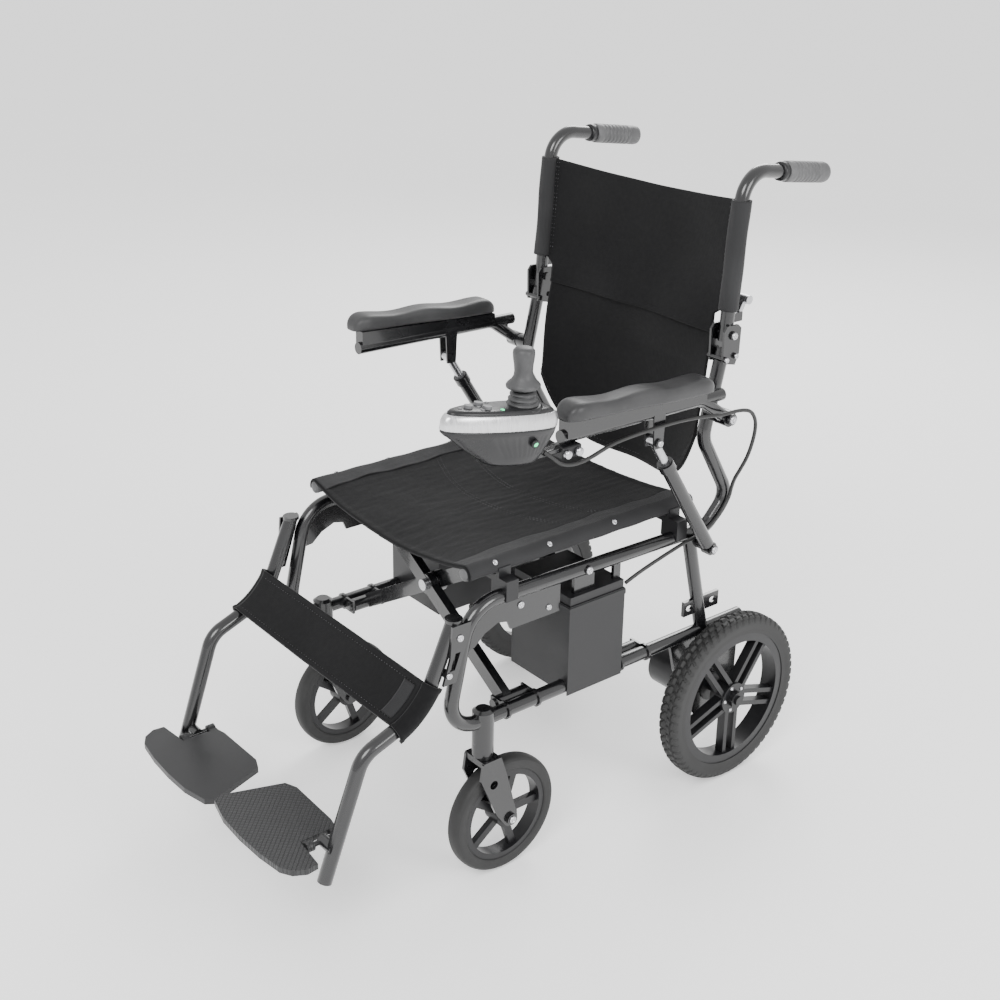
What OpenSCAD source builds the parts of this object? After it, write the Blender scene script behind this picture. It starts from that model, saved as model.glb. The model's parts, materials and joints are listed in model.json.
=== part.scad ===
// Folding power wheelchair, all metric. Floor at z = 0, the chair's front faces -Y, its left side is +X.
// Inside the modules y = 0 is the rear axle; placed() centres the chair on the origin.

/* [Wheels] */
// rear wheel diameter
rear_wheel_d = 295; // [287:1:299]
// rear tyre width
rear_tyre_w = 43; // [40:1:46]
// space between a rear tyre and its side frame
wheel_gap = 3.5; // [2.5:0.5:10]
// caster wheel diameter
caster_d = 190; // [180:1:196]
// caster tyre width
caster_w = 32; // [28:1:34]
// how far the caster axle trails behind its stem
caster_trail = 37; // [30:1:40]
// rear axle to caster stem
wheelbase = 494; // [488:1:500]
// pairs of spokes in a rear wheel
rear_spokes = 5; // [4:1:6]
// spokes in a caster wheel
caster_spokes = 5; // [4:1:6]

/* [Frame] */
// distance between the side frames, tube middle to tube middle
frame_width = 434; // [424:2:450]
// frame tube diameter
tube_d = 22; // [20:0.5:23]
// height of the bottom rails
bottom_rail_z = 270; // [268:1:276]
// height of the top rails
top_rail_z = 459; // [455:1:463]
// height of the seat rails
seat_rail_z = 502; // [500:1:510]
// seat rail diameter
seat_rail_d = 20; // [18:0.5:21]
// rear axle to the foremost bottom corner of the frame
frame_reach = 563; // [560:1:570]
// height of the back hinge
back_hinge_z = 775; // [772:1:780]
// height of the push handle bend
handle_z = 1022; // [1000:1:1045]
// rear axle to the end of the push handles
handle_reach = 178; // [172:1:190]
// push grip diameter
grip_d = 33; // [31:0.5:35]
// push grip length
grip_len = 100; // [92:1:108]

/* [Cross brace] */
// thickness of a brace arm along the chair
arm_t = 14; // [12:0.5:15]
// height of a brace arm's section
arm_h = 24; // [20:1:26]
// middle of the front pair of arms, ahead of the rear axle
front_brace_y = 424; // [420:1:428]
// middle of the rear pair of arms, ahead of the rear axle
rear_brace_y = 196; // [190:1:198]

/* [Seat and back] */
// sag of the seat cloth between its rails
seat_sag = 16; // [6:1:20]
// sag of the back cloth between its posts
back_sag = 30; // [16:1:36]
// cloth thickness
cloth_t = 2.4; // [2:0.2:2.6]
// length of the seat rails
seat_rail_len = 426; // [414:1:430]
// seat cloth depth
seat_depth = 438; // [420:1:442]

/* [Armrests] */
// height of the armrest tube at its front
arm_z = 698; // [694:1:704]
// armrest tube diameter
arm_tube_d = 20; // [18:0.5:21]
// length of the arm pad
pad_len = 292; // [270:1:296]
// width of the arm pad
pad_w = 47; // [40:1:48]
// thickness of the arm pad
pad_t = 27; // [22:1:30]
// outside diameter of the telescopic strut
strut_d = 22; // [20:0.5:23]

/* [Legrests] */
// rear axle to the front edge of the footplates
leg_reach = 842; // [836:1:850]
// height of the left footplate's top
left_plate_z = 161; // [159:1:164]
// height of the right footplate's top
right_plate_z = 145; // [142:1:146]
// footplate thickness
plate_t = 9; // [8:0.5:10]
// width of the calf strap
strap_w = 84; // [70:1:90]

/* [Drive] */
// gearbox diameter
gearbox_d = 92; // [86:1:96]
// motor diameter
motor_d = 82; // [74:1:84]
// battery case length along the chair
battery_len = 112; // [104:1:114]
// battery case width across the chair
battery_w = 134; // [124:1:136]
// height of the battery case
battery_h = 164; // [156:1:166]

/* [Controller] */
// controller length
pod_len = 190; // [180:1:196]
// controller width
pod_w = 64; // [58:1:66]
// joystick height above the housing
stick_h = 85; // [78:1:90]

/* [Hidden] */
$fn = 48;

// clearances
fit = 0.05;
gap = 0.4;
// how far a straight stretch of tube runs into a bend, and how much thicker the bend is
lap = 0.6;
swell = 0.12;

// colours
frame_black = [0.07, 0.07, 0.08];
cloth_black = [0.10, 0.10, 0.11];
rubber_grey = [0.30, 0.30, 0.31];
plastic_black = [0.12, 0.12, 0.13];
pad_grey = [0.22, 0.22, 0.23];
grip_grey = [0.55, 0.55, 0.56];
steel = [0.75, 0.75, 0.77];

// derived frame sizes
half = frame_width / 2;
tube_r = tube_d / 2;
axle_z = rear_wheel_d / 2;
stem_y = -wheelbase;
seat_rail_r = seat_rail_d / 2;
rail_back_y = -82;

// where the rear axle stands so that the chair is centred
axle_y = (leg_reach - handle_reach) / 2;

// side frame path, from the rear of the bottom rail round to the back hinge
bottom_rear = [half, 52, bottom_rail_z];
front_low = [half, -frame_reach, bottom_rail_z];
front_high = [half, 42 - frame_reach, top_rail_z + 4];
rear_high = [half, -46, top_rail_z - 4];
post_low = [half, 0, top_rail_z + 44];
post_mid = [half, -66, top_rail_z + 153];
post_end = [half, -34, back_hinge_z - 23];
hinge = [half, -31, back_hinge_z];

// scissor brace
pivot_x = half - tube_r - 12;
seat_x = half - 21;
brace_slope = (seat_rail_z - bottom_rail_z) / (pivot_x + seat_x);
brace_angle = atan(brace_slope);
cross_z = bottom_rail_z + pivot_x * brace_slope;
low_len = pivot_x / cos(brace_angle);
high_len = seat_x / cos(brace_angle);
brace_gap = 4;
pivot_pin_r = 5;

// armrest
arm_x = half + 33.75;
arm_pivot = [arm_x, -57, top_rail_z + 196];
arm_r = arm_tube_d / 2;
strut_foot = [arm_x, -71, top_rail_z - 20];
strut_top = [arm_x, -208, top_rail_z + 191];
pad_x = arm_x + 10;
pad_back_y = -108;
pad_tilt = 3;

// controller
pod_pos = [half + 39, -507, arm_z + 51];
pod_tilt = 9;
stick_pos = [half + 39, -465, arm_z + 63];
stick_bore = 14.5;

// wheel positions
wheel_x = half + tube_r + wheel_gap + rear_tyre_w / 2;
caster_r = caster_d / 2;
caster_axle = [half, stem_y + caster_trail, caster_r];

function unit(v) = v / norm(v);
function step_to(p, q, d) = p + unit(q - p) * d;
function turn(a, b, c) = acos(unit(b - a) * unit(c - b));
function set_back(p, bends, i) = bends[i] * tan(turn(p[i - 1], p[i], p[i + 1]) / 2);

module placed() {
    translate([0, axle_y, 0]) children();
}

module right_side() {
    mirror([1, 0, 0]) children();
}

// a round bar from one point to another
module rod(p, q, r) {
    d = q - p;
    translate(p)
        rotate([0, acos(d[2] / norm(d)), atan2(d[1], d[0])])
            cylinder(r = r, h = norm(d));
}

// a round bar along X, centred at p
module bar_x(p, r, len) {
    translate([p[0] - len / 2, p[1], p[2]]) rotate([0, 90, 0]) cylinder(r = r, h = len);
}

// a round bar along Y, centred at p
module bar_y(p, r, len) {
    translate([p[0], p[1] + len / 2, p[2]]) rotate([90, 0, 0]) cylinder(r = r, h = len);
}

// the bend between two straight stretches of tube
module elbow(a, b, c, bend, r) {
    u = unit(b - a);
    v = unit(c - b);
    n = unit(cross(u, v));
    w = cross(n, u);
    o = b - u * (bend * tan(turn(a, b, c) / 2)) + w * bend;
    multmatrix([
        [-w[0], u[0], n[0], o[0]],
        [-w[1], u[1], n[1], o[1]],
        [-w[2], u[2], n[2], o[2]],
        [0, 0, 0, 1]
    ])
        rotate_extrude(angle = turn(a, b, c)) translate([bend, 0]) circle(r = r);
}

// a tube bent at each inner point of its path; the bends swell a little and the straights run into them
module bent_tube(p, bends, r) {
    last = len(p) - 1;
    for (i = [0 : last - 1])
        rod(i == 0 ? p[0] : step_to(p[i], p[i + 1], set_back(p, bends, i) - lap),
            i == last - 1 ? p[last] : step_to(p[i + 1], p[i], set_back(p, bends, i + 1) - lap), r);
    for (i = [1 : last - 1]) elbow(p[i - 1], p[i], p[i + 1], bends[i], r + swell);
}

// a flat plate standing along the chair, outline in Y and Z, from x0 to x1
module side_plate(outline, x0, x1) {
    translate([x0, 0, 0])
        rotate([90, 0, 90])
            linear_extrude(height = x1 - x0) polygon(outline);
}

// a plate standing across the chair, outline in X and Z, from y0 to y1
module cross_plate(outline, y0, y1) {
    translate([0, y1, 0])
        rotate([90, 0, 0])
            linear_extrude(height = y1 - y0) polygon(outline);
}

// a block from one corner to the other
module block(a, b) {
    translate(a) cube(b - a);
}

// a sheet from its middle line: offset both ways by half its thickness, then extruded
function side_of(p, i) =
    let (a = p[max(i - 1, 0)], b = p[min(i + 1, len(p) - 1)], d = unit(b - a)) [-d[1], d[0]];
function offset_line(p, d) = [for (i = [0 : len(p) - 1]) p[i] + side_of(p, i) * d];
function reversed(p) = [for (i = [len(p) - 1 : -1 : 0]) p[i]];
function strip(p, t) = concat(offset_line(p, t / 2), reversed(offset_line(p, -t / 2)));

// closed skin between two grids of points of equal size
module skin(a, b) {
    nu = len(a);
    nv = len(a[0]);
    pts = concat([for (r = a) for (q = r) q], [for (r = b) for (q = r) q]);
    m = nu * nv;
    quads = concat(
        [for (i = [0 : nu - 2]) for (j = [0 : nv - 2])
            [i * nv + j, i * nv + j + 1, (i + 1) * nv + j + 1, (i + 1) * nv + j]],
        [for (i = [0 : nu - 2]) for (j = [0 : nv - 2])
            [m + (i + 1) * nv + j, m + (i + 1) * nv + j + 1, m + i * nv + j + 1, m + i * nv + j]],
        [for (i = [0 : nu - 2]) [i * nv, (i + 1) * nv, m + (i + 1) * nv, m + i * nv]],
        [for (i = [0 : nu - 2])
            [m + i * nv + nv - 1, m + (i + 1) * nv + nv - 1, (i + 1) * nv + nv - 1, i * nv + nv - 1]],
        [for (j = [0 : nv - 2]) [m + j, m + j + 1, j + 1, j]],
        [for (j = [0 : nv - 2])
            [m - nv + j, m - nv + j + 1, 2 * m - nv + j + 1, 2 * m - nv + j]]
    );
    polyhedron(points = pts, convexity = 6, faces =
        [for (q = quads) for (k = [0, 1]) k == 0 ? [q[0], q[1], q[2]] : [q[0], q[2], q[3]]]);
}

// side frames

// gusset under the front of the top rail, with an arched lower edge
module front_gusset() {
    top = top_rail_z - 4;
    side_plate([
        [-510, top], [-530, top - 62], [-512, top - 60], [-494, top - 44], [-470, top - 34],
        [-452, top - 38], [-446, top - 52], [-352, top - 52], [-352, top]
    ], half - 3, half + 1);
}

// plate that carries the gearmotor, hung from the bottom rail
module motor_plate() {
    side_plate([
        [-108, bottom_rail_z], [-92, axle_z + 60], [-56, axle_z - 20], [-34, axle_z - 46],
        [34, axle_z - 46], [56, axle_z - 20], [58, bottom_rail_z]
    ], half - 8, half - 2);
}

// slotted bracket on the rear upright
module slot_bracket() {
    difference() {
        block([half - 3, -84, axle_z + 158], [half + 3, -4, axle_z + 184]);
        for (y = [-71, -17]) {
            block([half - 9, y - 3, axle_z + 166], [half + 9, y + 3, axle_z + 176]);
            for (s = [-1, 1]) bar_x([half, y + 3 * s, axle_z + 171], 5, 18);
        }
    }
}

module side_frame() {
    hook_top = top_rail_z - 2;
    hook_low = bottom_rail_z - 11 + battery_h + 0.2;
    color(frame_black)
    difference() {
        union() {
            bent_tube([bottom_rear, front_low, front_high, rear_high, post_low, post_mid, post_end],
                [0, 45, 60, 36, 34, 40, 0], tube_r);
            // rear upright
            rod([half, -38, bottom_rail_z], [half, -84, top_rail_z - 2], tube_r);
            // caster barrel with its cap
            translate([half, stem_y, caster_r + 118]) cylinder(r = 16.5, h = bottom_rail_z + 15 - caster_r - 118);
            translate([half, stem_y, bottom_rail_z + 15]) cylinder(r1 = 16.5, r2 = 11, h = 4);
            front_gusset();
            motor_plate();
            slot_bracket();
            // battery hooks under the top rail
            block([half - 3, -326, hook_low], [half + 3, -286, hook_top]);
            block([half - 3, -246, hook_low], [half + 3, -232, hook_top]);
            bar_x([half + 9, -306, top_rail_z + 1], 7, 8);
            // back hinge plates and the bolts that hold them to the post
            for (s = [-1, 1])
                side_plate([
                    [-49, back_hinge_z - 42], [-22, back_hinge_z - 48], [-14, back_hinge_z - 30],
                    [-13, back_hinge_z + 10], [-20, back_hinge_z + 16], [-44, back_hinge_z + 16],
                    [-50, back_hinge_z + 8]
                ], half + s * (tube_r + gap + 2) - 2, half + s * (tube_r + gap + 2) + 2);
            bar_x([half, -24, back_hinge_z - 33], 4.5, 2 * (tube_r + gap + 7));
            bar_x([half, -45, back_hinge_z - 36], 4.5, 2 * (tube_r + gap + 7));
            bar_x(hinge, 5, 2 * (tube_r + gap + 7));
            for (s = [-1, 1]) bar_x([half + s * (tube_r + gap + 5.5), hinge[1], hinge[2]], 7, 3);
            // armrest stud
            bar_x([(half + arm_x - 12) / 2, arm_pivot[1], arm_pivot[2]], 12, arm_x - 12 - half);
            bar_x([arm_x + 1, arm_pivot[1], arm_pivot[2]], 5, 28);
            bar_x([arm_x + 15, arm_pivot[1], arm_pivot[2]], 9, 5);
            // strut stud
            bar_x([(half + arm_x - 8) / 2, strut_foot[1], strut_foot[2]], 8, arm_x - 8 - half);
            bar_x([arm_x + 1, strut_foot[1], strut_foot[2]], 5, 20);
            bar_x([arm_x + 10.5, strut_foot[1], strut_foot[2]], 8, 4);
        }
        // caster stem bore
        translate([half, stem_y, caster_r + 117]) cylinder(r = 10, h = bottom_rail_z + 10 - caster_r - 117);
        // gearbox spigot hole
        bar_x([half - 5, 0, axle_z], 26, 20);
    }
}

// clevises on the bottom rail that hold the lower ends of the brace
module brace_pivots() {
    color(frame_black)
    for (y = [-front_brace_y, -rear_brace_y]) {
        for (s = [-1, 1])
            difference() {
                union() {
                    block([pivot_x - 9, y + s * 29 - 2, bottom_rail_z - 11],
                        [half - 4, y + s * 29 + 2, bottom_rail_z + 11]);
                    bar_y([half, y + s * 29, bottom_rail_z], tube_r + 3, 4);
                }
                bar_y([half, y + s * 29, bottom_rail_z], tube_r + fit, 10);
            }
        bar_y([pivot_x, y, bottom_rail_z], pivot_pin_r, 64);
        for (s = [-1, 1]) bar_y([pivot_x, y + s * 32.5, bottom_rail_z], 8, 3);
    }
}

cradle_r = seat_rail_r + 0.3 + cloth_t + gap;

// cradles on the top rail that the seat rail rests in
module rail_saddles() {
    color(plastic_black)
    for (y = [stem_y + 40, -112])
        difference() {
            union() {
                block([seat_x - cradle_r - 3, y - 11, seat_rail_z - 22],
                    [seat_x + cradle_r + 3, y + 11, seat_rail_z + 1]);
                block([seat_x - 1, y - 11, top_rail_z - 3], [half + 13, y + 11, seat_rail_z - 14]);
            }
            bar_y([seat_x, y, seat_rail_z], cradle_r, 30);
            block([seat_x - cradle_r, y - 20, seat_rail_z], [seat_x + cradle_r, y + 20, seat_rail_z + 9]);
            fall = (front_high[2] - rear_high[2]) / (rear_high[1] - front_high[1]);
            top_at = front_high[2] - (y - front_high[1]) * fall;
            rod([half, y - 20, top_at + 20 * fall], [half, y + 20, top_at - 20 * fall], tube_r + fit);
        }
}

// cross brace and seat rails

// one brace arm, from its pivot tube at +X low to the seat rail at -X high; its bar's middle is at y,
// its pivot tube's at tube_y, and its cross bolt's hole has radius hole_r
module brace_arm(y, tube_y, hole_r) {
    difference() {
        union() {
            translate([pivot_x, y, bottom_rail_z])
                rotate([0, brace_angle, 0])
                    translate([6 - low_len - high_len, -arm_t / 2, -arm_h / 2])
                        cube([low_len + high_len - 8, arm_t, arm_h]);
            bar_y([0, y, cross_z], 17, arm_t - 1);
            bar_y([pivot_x, tube_y, bottom_rail_z], 11, 53);
        }
        bar_y([pivot_x, tube_y, bottom_rail_z], pivot_pin_r + fit, 60);
        bar_y([-seat_x, y, seat_rail_z], seat_rail_r + 0.02, 40);
        bar_y([0, y, cross_z], hole_r, 40);
    }
}

// the arms hinged on the left frame: they carry the right seat rail
module brace_arm_a() {
    color(frame_black)
    for (y = [-front_brace_y, -rear_brace_y]) brace_arm(y - (arm_t + brace_gap) / 2, y, 5);
}

// the arms hinged on the right frame: they carry the left seat rail
module brace_arm_b() {
    color(frame_black)
    mirror([1, 0, 0])
        for (y = [-front_brace_y, -rear_brace_y]) brace_arm(y + (arm_t + brace_gap) / 2, y, 5 + fit);
}

// bolts, spacers and nuts where the arms cross
module brace_bolts() {
    reach = arm_t + brace_gap / 2;
    color(steel)
    for (y = [-front_brace_y, -rear_brace_y]) {
        bar_y([0, y, cross_z], 5, 2 * reach + 3);
        bar_y([0, y - reach - 3, cross_z], 9, 6);
        bar_y([0, y + reach + 3.5, cross_z], 8.5, 6);
        bar_y([0, y - 0.25, cross_z], 12, brace_gap - 0.5);
    }
}

module seat_rail() {
    color(frame_black)
    union() {
        bar_y([seat_x, rail_back_y - seat_rail_len / 2, seat_rail_z], seat_rail_r, seat_rail_len);
        bar_y([seat_x, rail_back_y + 4, seat_rail_z], seat_rail_r - 1, 10);
    }
}

// cloth

seat_steps = 18;
wrap_r = seat_rail_r + 0.3 + cloth_t / 2;
wrap_steps = 8;
seat_line = concat(
    [[-seat_x - wrap_r, seat_rail_z - 1]],
    [for (i = [0 : wrap_steps])
        let (a = 180 - 90 * i / wrap_steps) [-seat_x + wrap_r * cos(a), seat_rail_z + wrap_r * sin(a)]],
    [for (i = [1 : seat_steps - 1])
        let (t = 2 * i / seat_steps - 1) [t * seat_x, seat_rail_z + wrap_r - seat_sag * (1 - t * t)]],
    [for (i = [0 : wrap_steps])
        let (a = 90 - 90 * i / wrap_steps) [seat_x + wrap_r * cos(a), seat_rail_z + wrap_r * sin(a)]],
    [[seat_x + wrap_r, seat_rail_z - 1]]
);

module seat_sling() {
    color(cloth_black)
    cross_plate(strip(seat_line, cloth_t), rail_back_y + 4 - seat_depth, rail_back_y + 4);
}

// back cloth: a sagging curtain between the posts, u across from -1 to 1, v down from the hinge line
flap_w = half - 22;
flap_side_drop = 175;
flap_mid_drop = 112;
function flap_z(u, v) = back_hinge_z - 5 - v * (flap_side_drop + flap_mid_drop * (1 - pow(u, 4)));
function flap_y(u, v) =
    let (z = flap_z(u, v), drop = back_hinge_z - z)
    hinge[1] - drop * 0.12 * u * u + back_sag * (1 - u * u) * (1 + drop / 600);
flap_u = [for (i = [0 : 20]) i / 10 - 1];
flap_v = [for (j = [0 : 8]) j / 8];

module back_flap() {
    color(cloth_black)
    skin([for (u = flap_u) [for (v = flap_v) [u * flap_w, flap_y(u, v) - cloth_t / 2, flap_z(u, v)]]],
        [for (u = flap_u) [for (v = flap_v) [u * flap_w, flap_y(u, v) + cloth_t / 2, flap_z(u, v)]]]);
}

post_top = [half, -14, handle_z];
post_lean = atan((post_top[1] - hinge[1]) / (handle_z - back_hinge_z));
sleeve_low = 36;
sleeve_top = handle_z - 44;
back_line = [for (i = [0 : 20]) let (u = i / 10 - 1) [u * (half - 12), back_sag * (1 - u * u)]];

// upper back cloth with a sleeve over each post
module back_cloth() {
    color(cloth_black)
    translate([0, hinge[1], back_hinge_z])
        rotate([-post_lean, 0, 0])
            difference() {
                union() {
                    translate([0, 0, 1])
                        linear_extrude(height = sleeve_top - back_hinge_z - 1) polygon(strip(back_line, cloth_t));
                    for (s = [-1, 1])
                        translate([s * half, 0, sleeve_low])
                            cylinder(r = tube_r + 0.3 + cloth_t, h = sleeve_top - back_hinge_z - sleeve_low);
                }
                for (s = [-1, 1]) translate([s * half, 0, -10]) cylinder(r = tube_r + 0.3, h = 400);
                // the lower corners keep clear of the hinges
                for (s = [-1, 1]) translate([s * half - 22, -10, -10]) cube([44, 40, sleeve_low + 10]);
            }
}

// back posts

latch_y = hinge[1] + tube_r + 10;
latch_z = back_hinge_z + 25;
grip_droop = 7;
handle_dir = unit([-7, 199, -199 * tan(grip_droop)]);
handle_end_y = handle_reach - grip_d / 2 * sin(grip_droop);
handle_run = (handle_end_y - post_top[1]) / handle_dir[1];
post_start = hinge - unit(post_top - hinge) * 11;

module back_post() {
    color(frame_black)
    difference() {
        union() {
            bent_tube([post_start, post_top, post_top + handle_dir * (handle_run - 4)], [0, 45, 0], tube_r);
            // lugs for the latch lever
            for (s = [-1, 1])
                block([half + s * 7 - 1.5, latch_y - 14, back_hinge_z + 18],
                    [half + s * 7 + 1.5, latch_y + 5, back_hinge_z + 32]);
            bar_x([half, latch_y, latch_z], 2.5, 16);
        }
        bar_x(hinge, 5 + fit, 60);
    }
}

module push_grip() {
    color(grip_grey)
    difference() {
        rod(post_top + handle_dir * (handle_run - grip_len), post_top + handle_dir * handle_run, grip_d / 2);
        rod(post_top + handle_dir * (handle_run - grip_len - 5), post_top + handle_dir * (handle_run - 4), tube_r);
    }
}

// thumb lever that frees the back hinge
module back_latch() {
    color(plastic_black)
    difference() {
        union() {
            bar_x([half, latch_y, latch_z], 5.5, 10);
            side_plate([
                [latch_y - 2, latch_z + 1], [latch_y + 6, latch_z - 1],
                [latch_y + 18, latch_z + 21], [latch_y + 12, latch_z + 25]
            ], half - 4, half + 4);
            bar_x([half, latch_y + 16, latch_z + 24], 7, 22);
        }
        bar_x([half, latch_y, latch_z], 2.5 + fit, 30);
    }
}

// armrests

strut_dir = unit(strut_top - strut_foot);
arm_front = [arm_x, -392, arm_z];
arm_elbow = [arm_x, -114, arm_z - 3];

module armrest_tube() {
    color(frame_black)
    difference() {
        union() {
            bent_tube([arm_front, arm_elbow, arm_pivot], [0, 34, 0], arm_r);
            bar_x(arm_pivot, 13, 23);
            // wedge that carries the pad
            side_plate([
                [-388, arm_z], [-112, arm_z - 3], [-112, pad_z(-112) - 0.4], [-388, pad_z(-388) - 0.4]
            ], arm_x - 8, arm_x + 12);
            // the tube's rear end, with the bolt that clamps it
            rod(arm_elbow, [arm_x, -68, arm_z - 3.5], arm_r - 0.2);
            translate([arm_x, -82, arm_z - 20]) cylinder(r = 5, h = 12);
            // clevis for the strut
            for (s = [-1, 1])
                side_plate([
                    [strut_top[1] - 12, arm_z], [strut_top[1] - 9, strut_top[2] - 9],
                    [strut_top[1] + 9, strut_top[2] - 9], [strut_top[1] + 12, arm_z]
                ], arm_x + s * 9 - 1.5, arm_x + s * 9 + 1.5);
            for (s = [-1, 1]) bar_x([arm_x + s * 12, strut_top[1], strut_top[2]], 7, 3.2);
        }
        bar_x(arm_pivot, 5 + fit, 40);
    }
}

// underside of the arm pad at a given y
function pad_z(y) = arm_z + 14 + (pad_back_y - y) * tan(pad_tilt);

module arm_pad() {
    color(pad_grey)
    translate([pad_x, pad_back_y, arm_z + 14])
        rotate([-pad_tilt, 0, 0])
            difference() {
                union() {
                    translate([-pad_w / 2, -pad_len + 10, 0]) cube([pad_w, pad_len - 20, pad_t - 4]);
                    translate([-pad_w / 2 + 8, -pad_len + 10, 0]) cube([pad_w - 16, pad_len - 20, pad_t]);
                    for (s = [-1, 1]) translate([s * (pad_w / 2 - 8), -pad_len / 2, pad_t - 8])
                        rotate([90, 0, 0]) cylinder(r = 8, h = pad_len - 20, center = true);
                    for (y = [-pad_len + 10, -10]) translate([0, y, 0])
                        translate([-pad_w / 2 + 8, -10, 0]) cube([pad_w - 16, 20, pad_t - 3]);
                }
                // screw holes
                for (y = [-360, -148])
                    translate([arm_x - pad_x, (y - pad_back_y) / cos(pad_tilt), -2]) cylinder(r = 2.5, h = 10);
            }
}

module strut_sleeve() {
    color(plastic_black)
    difference() {
        union() {
            rod(strut_foot + strut_dir * 9.5, strut_foot + strut_dir * 205, strut_d / 2);
            rod(strut_foot + strut_dir * 188, strut_foot + strut_dir * 203, strut_d / 2 + 2);
            bar_x(strut_foot, 11, 14);
        }
        rod(strut_foot + strut_dir * 22, strut_foot + strut_dir * 210, 7 + fit);
        bar_x(strut_foot, 5 + fit, 40);
    }
}

module strut_rod() {
    color(steel)
    union() {
        rod(strut_foot + strut_dir * 30, strut_top - strut_dir * 4, 7);
        bar_x(strut_top, 9, 14);
    }
}

// legrests

hang_top = [half, -549, top_rail_z - 9];
hang_knee = [half - 1, -603, bottom_rail_z + 56];
hang_shin = [half - 3, 139 - leg_reach, bottom_rail_z + 18];
hang_end = [half - 7, 75 - leg_reach, 108];
knee_bend = 50;
plate_pin_x = half - 31;
plate_pin_y = 90 - leg_reach;
plate_lugs = [plate_pin_y - 23, plate_pin_y + 23];

// footrest hanger with its two brackets; the footplate pin sits at the height given
module leg_hanger(plate_z) {
    pin_z = plate_z - plate_t / 2;
    color(frame_black)
    difference() {
        union() {
            bent_tube([hang_top, hang_knee, hang_shin, hang_end], [0, knee_bend, 42, 0], tube_r);
            // slotted bracket between the hanger and the front tube
            side_plate([
                [-562, top_rail_z - 10], [-529, top_rail_z - 10], [-533, top_rail_z - 30],
                [-556, top_rail_z - 98], [-578, top_rail_z - 98], [-566, top_rail_z - 60]
            ], half + tube_r + 0.4, half + tube_r + 4.4);
            bar_x([half + tube_r - 3, -549, top_rail_z - 30], 6, 12);
            bar_x([half + tube_r - 3, -568, top_rail_z - 84], 6, 12);
            translate([half, -549, top_rail_z - 10]) cylinder(r = 13, h = 5);
            // clamp and pin for the footplate
            bar_x([half - 18, plate_pin_y, pin_z], 9, 32);
            bar_y([plate_pin_x, plate_pin_y, pin_z], 4, 60);
        }
        // slot in the bracket
        side_plate([
            [-557, top_rail_z - 52], [-548, top_rail_z - 52], [-558, top_rail_z - 78], [-567, top_rail_z - 78]
        ], half + tube_r - 1, half + tube_r + 8);
    }
}

// footplate outline in X and Y, its front edge bowed
plate_line = [
    [8, -leg_reach + 24], [16, -leg_reach + 12], [60, -leg_reach + 2], [110, -leg_reach],
    [160, -leg_reach + 2], [205, -leg_reach + 8], [222, -leg_reach + 18], [232, -leg_reach + 36],
    [230, -leg_reach + 54], [plate_pin_x - 12, -leg_reach + 60], [plate_pin_x - 12, -leg_reach + 118],
    [plate_pin_x - 30, -leg_reach + 122], [60, -leg_reach + 124], [40, -leg_reach + 116]
];

module footplate(plate_z) {
    pin_z = plate_z - plate_t / 2;
    color(rubber_grey)
    difference() {
        union() {
            translate([0, 0, plate_z - plate_t]) linear_extrude(height = plate_t) polygon(plate_line);
            for (y = plate_lugs) bar_y([plate_pin_x, y, pin_z], 7.5, 12);
            for (y = plate_lugs) block([plate_pin_x - 14, y - 6, pin_z - 4], [plate_pin_x, y + 6, pin_z + 4]);
        }
        bar_y([plate_pin_x, plate_pin_y, pin_z], 4 + fit, 80);
    }
}

// strap across the front of both hangers, following the inside of their upper bend
strap_off = tube_r + 2.4;
strap_above = 22;
fall_dir = unit([hang_knee[1] - hang_top[1], hang_knee[2] - hang_top[2]]);
shin_dir = unit([hang_shin[1] - hang_knee[1], hang_shin[2] - hang_knee[2]]);
function front_of(d) = [d[1], -d[0]];
knee_turn = acos(fall_dir * shin_dir);
knee_mid = [hang_knee[1], hang_knee[2]]
    + unit(front_of(fall_dir) + front_of(shin_dir)) * knee_bend / cos(knee_turn / 2);
strap_arc = [for (t = [0 : 0.25 : 1])
    knee_mid - unit(front_of(fall_dir) * (1 - t) + front_of(shin_dir) * t) * (knee_bend - strap_off)];
arc_len = (knee_bend - strap_off) * knee_turn * PI / 180;
strap_line = concat(
    [strap_arc[0] - fall_dir * strap_above],
    strap_arc,
    [strap_arc[4] + shin_dir * (strap_w - strap_above - arc_len)]
);

module calf_strap() {
    color(cloth_black)
    translate([-half - tube_r - 2, 0, 0])
        rotate([90, 0, 90])
            linear_extrude(height = 2 * (half + tube_r + 2)) polygon(strip(strap_line, cloth_t + 0.6));
}

// casters

fork_top = caster_r + 116;
blade_x = caster_w / 2 + 5;

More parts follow.
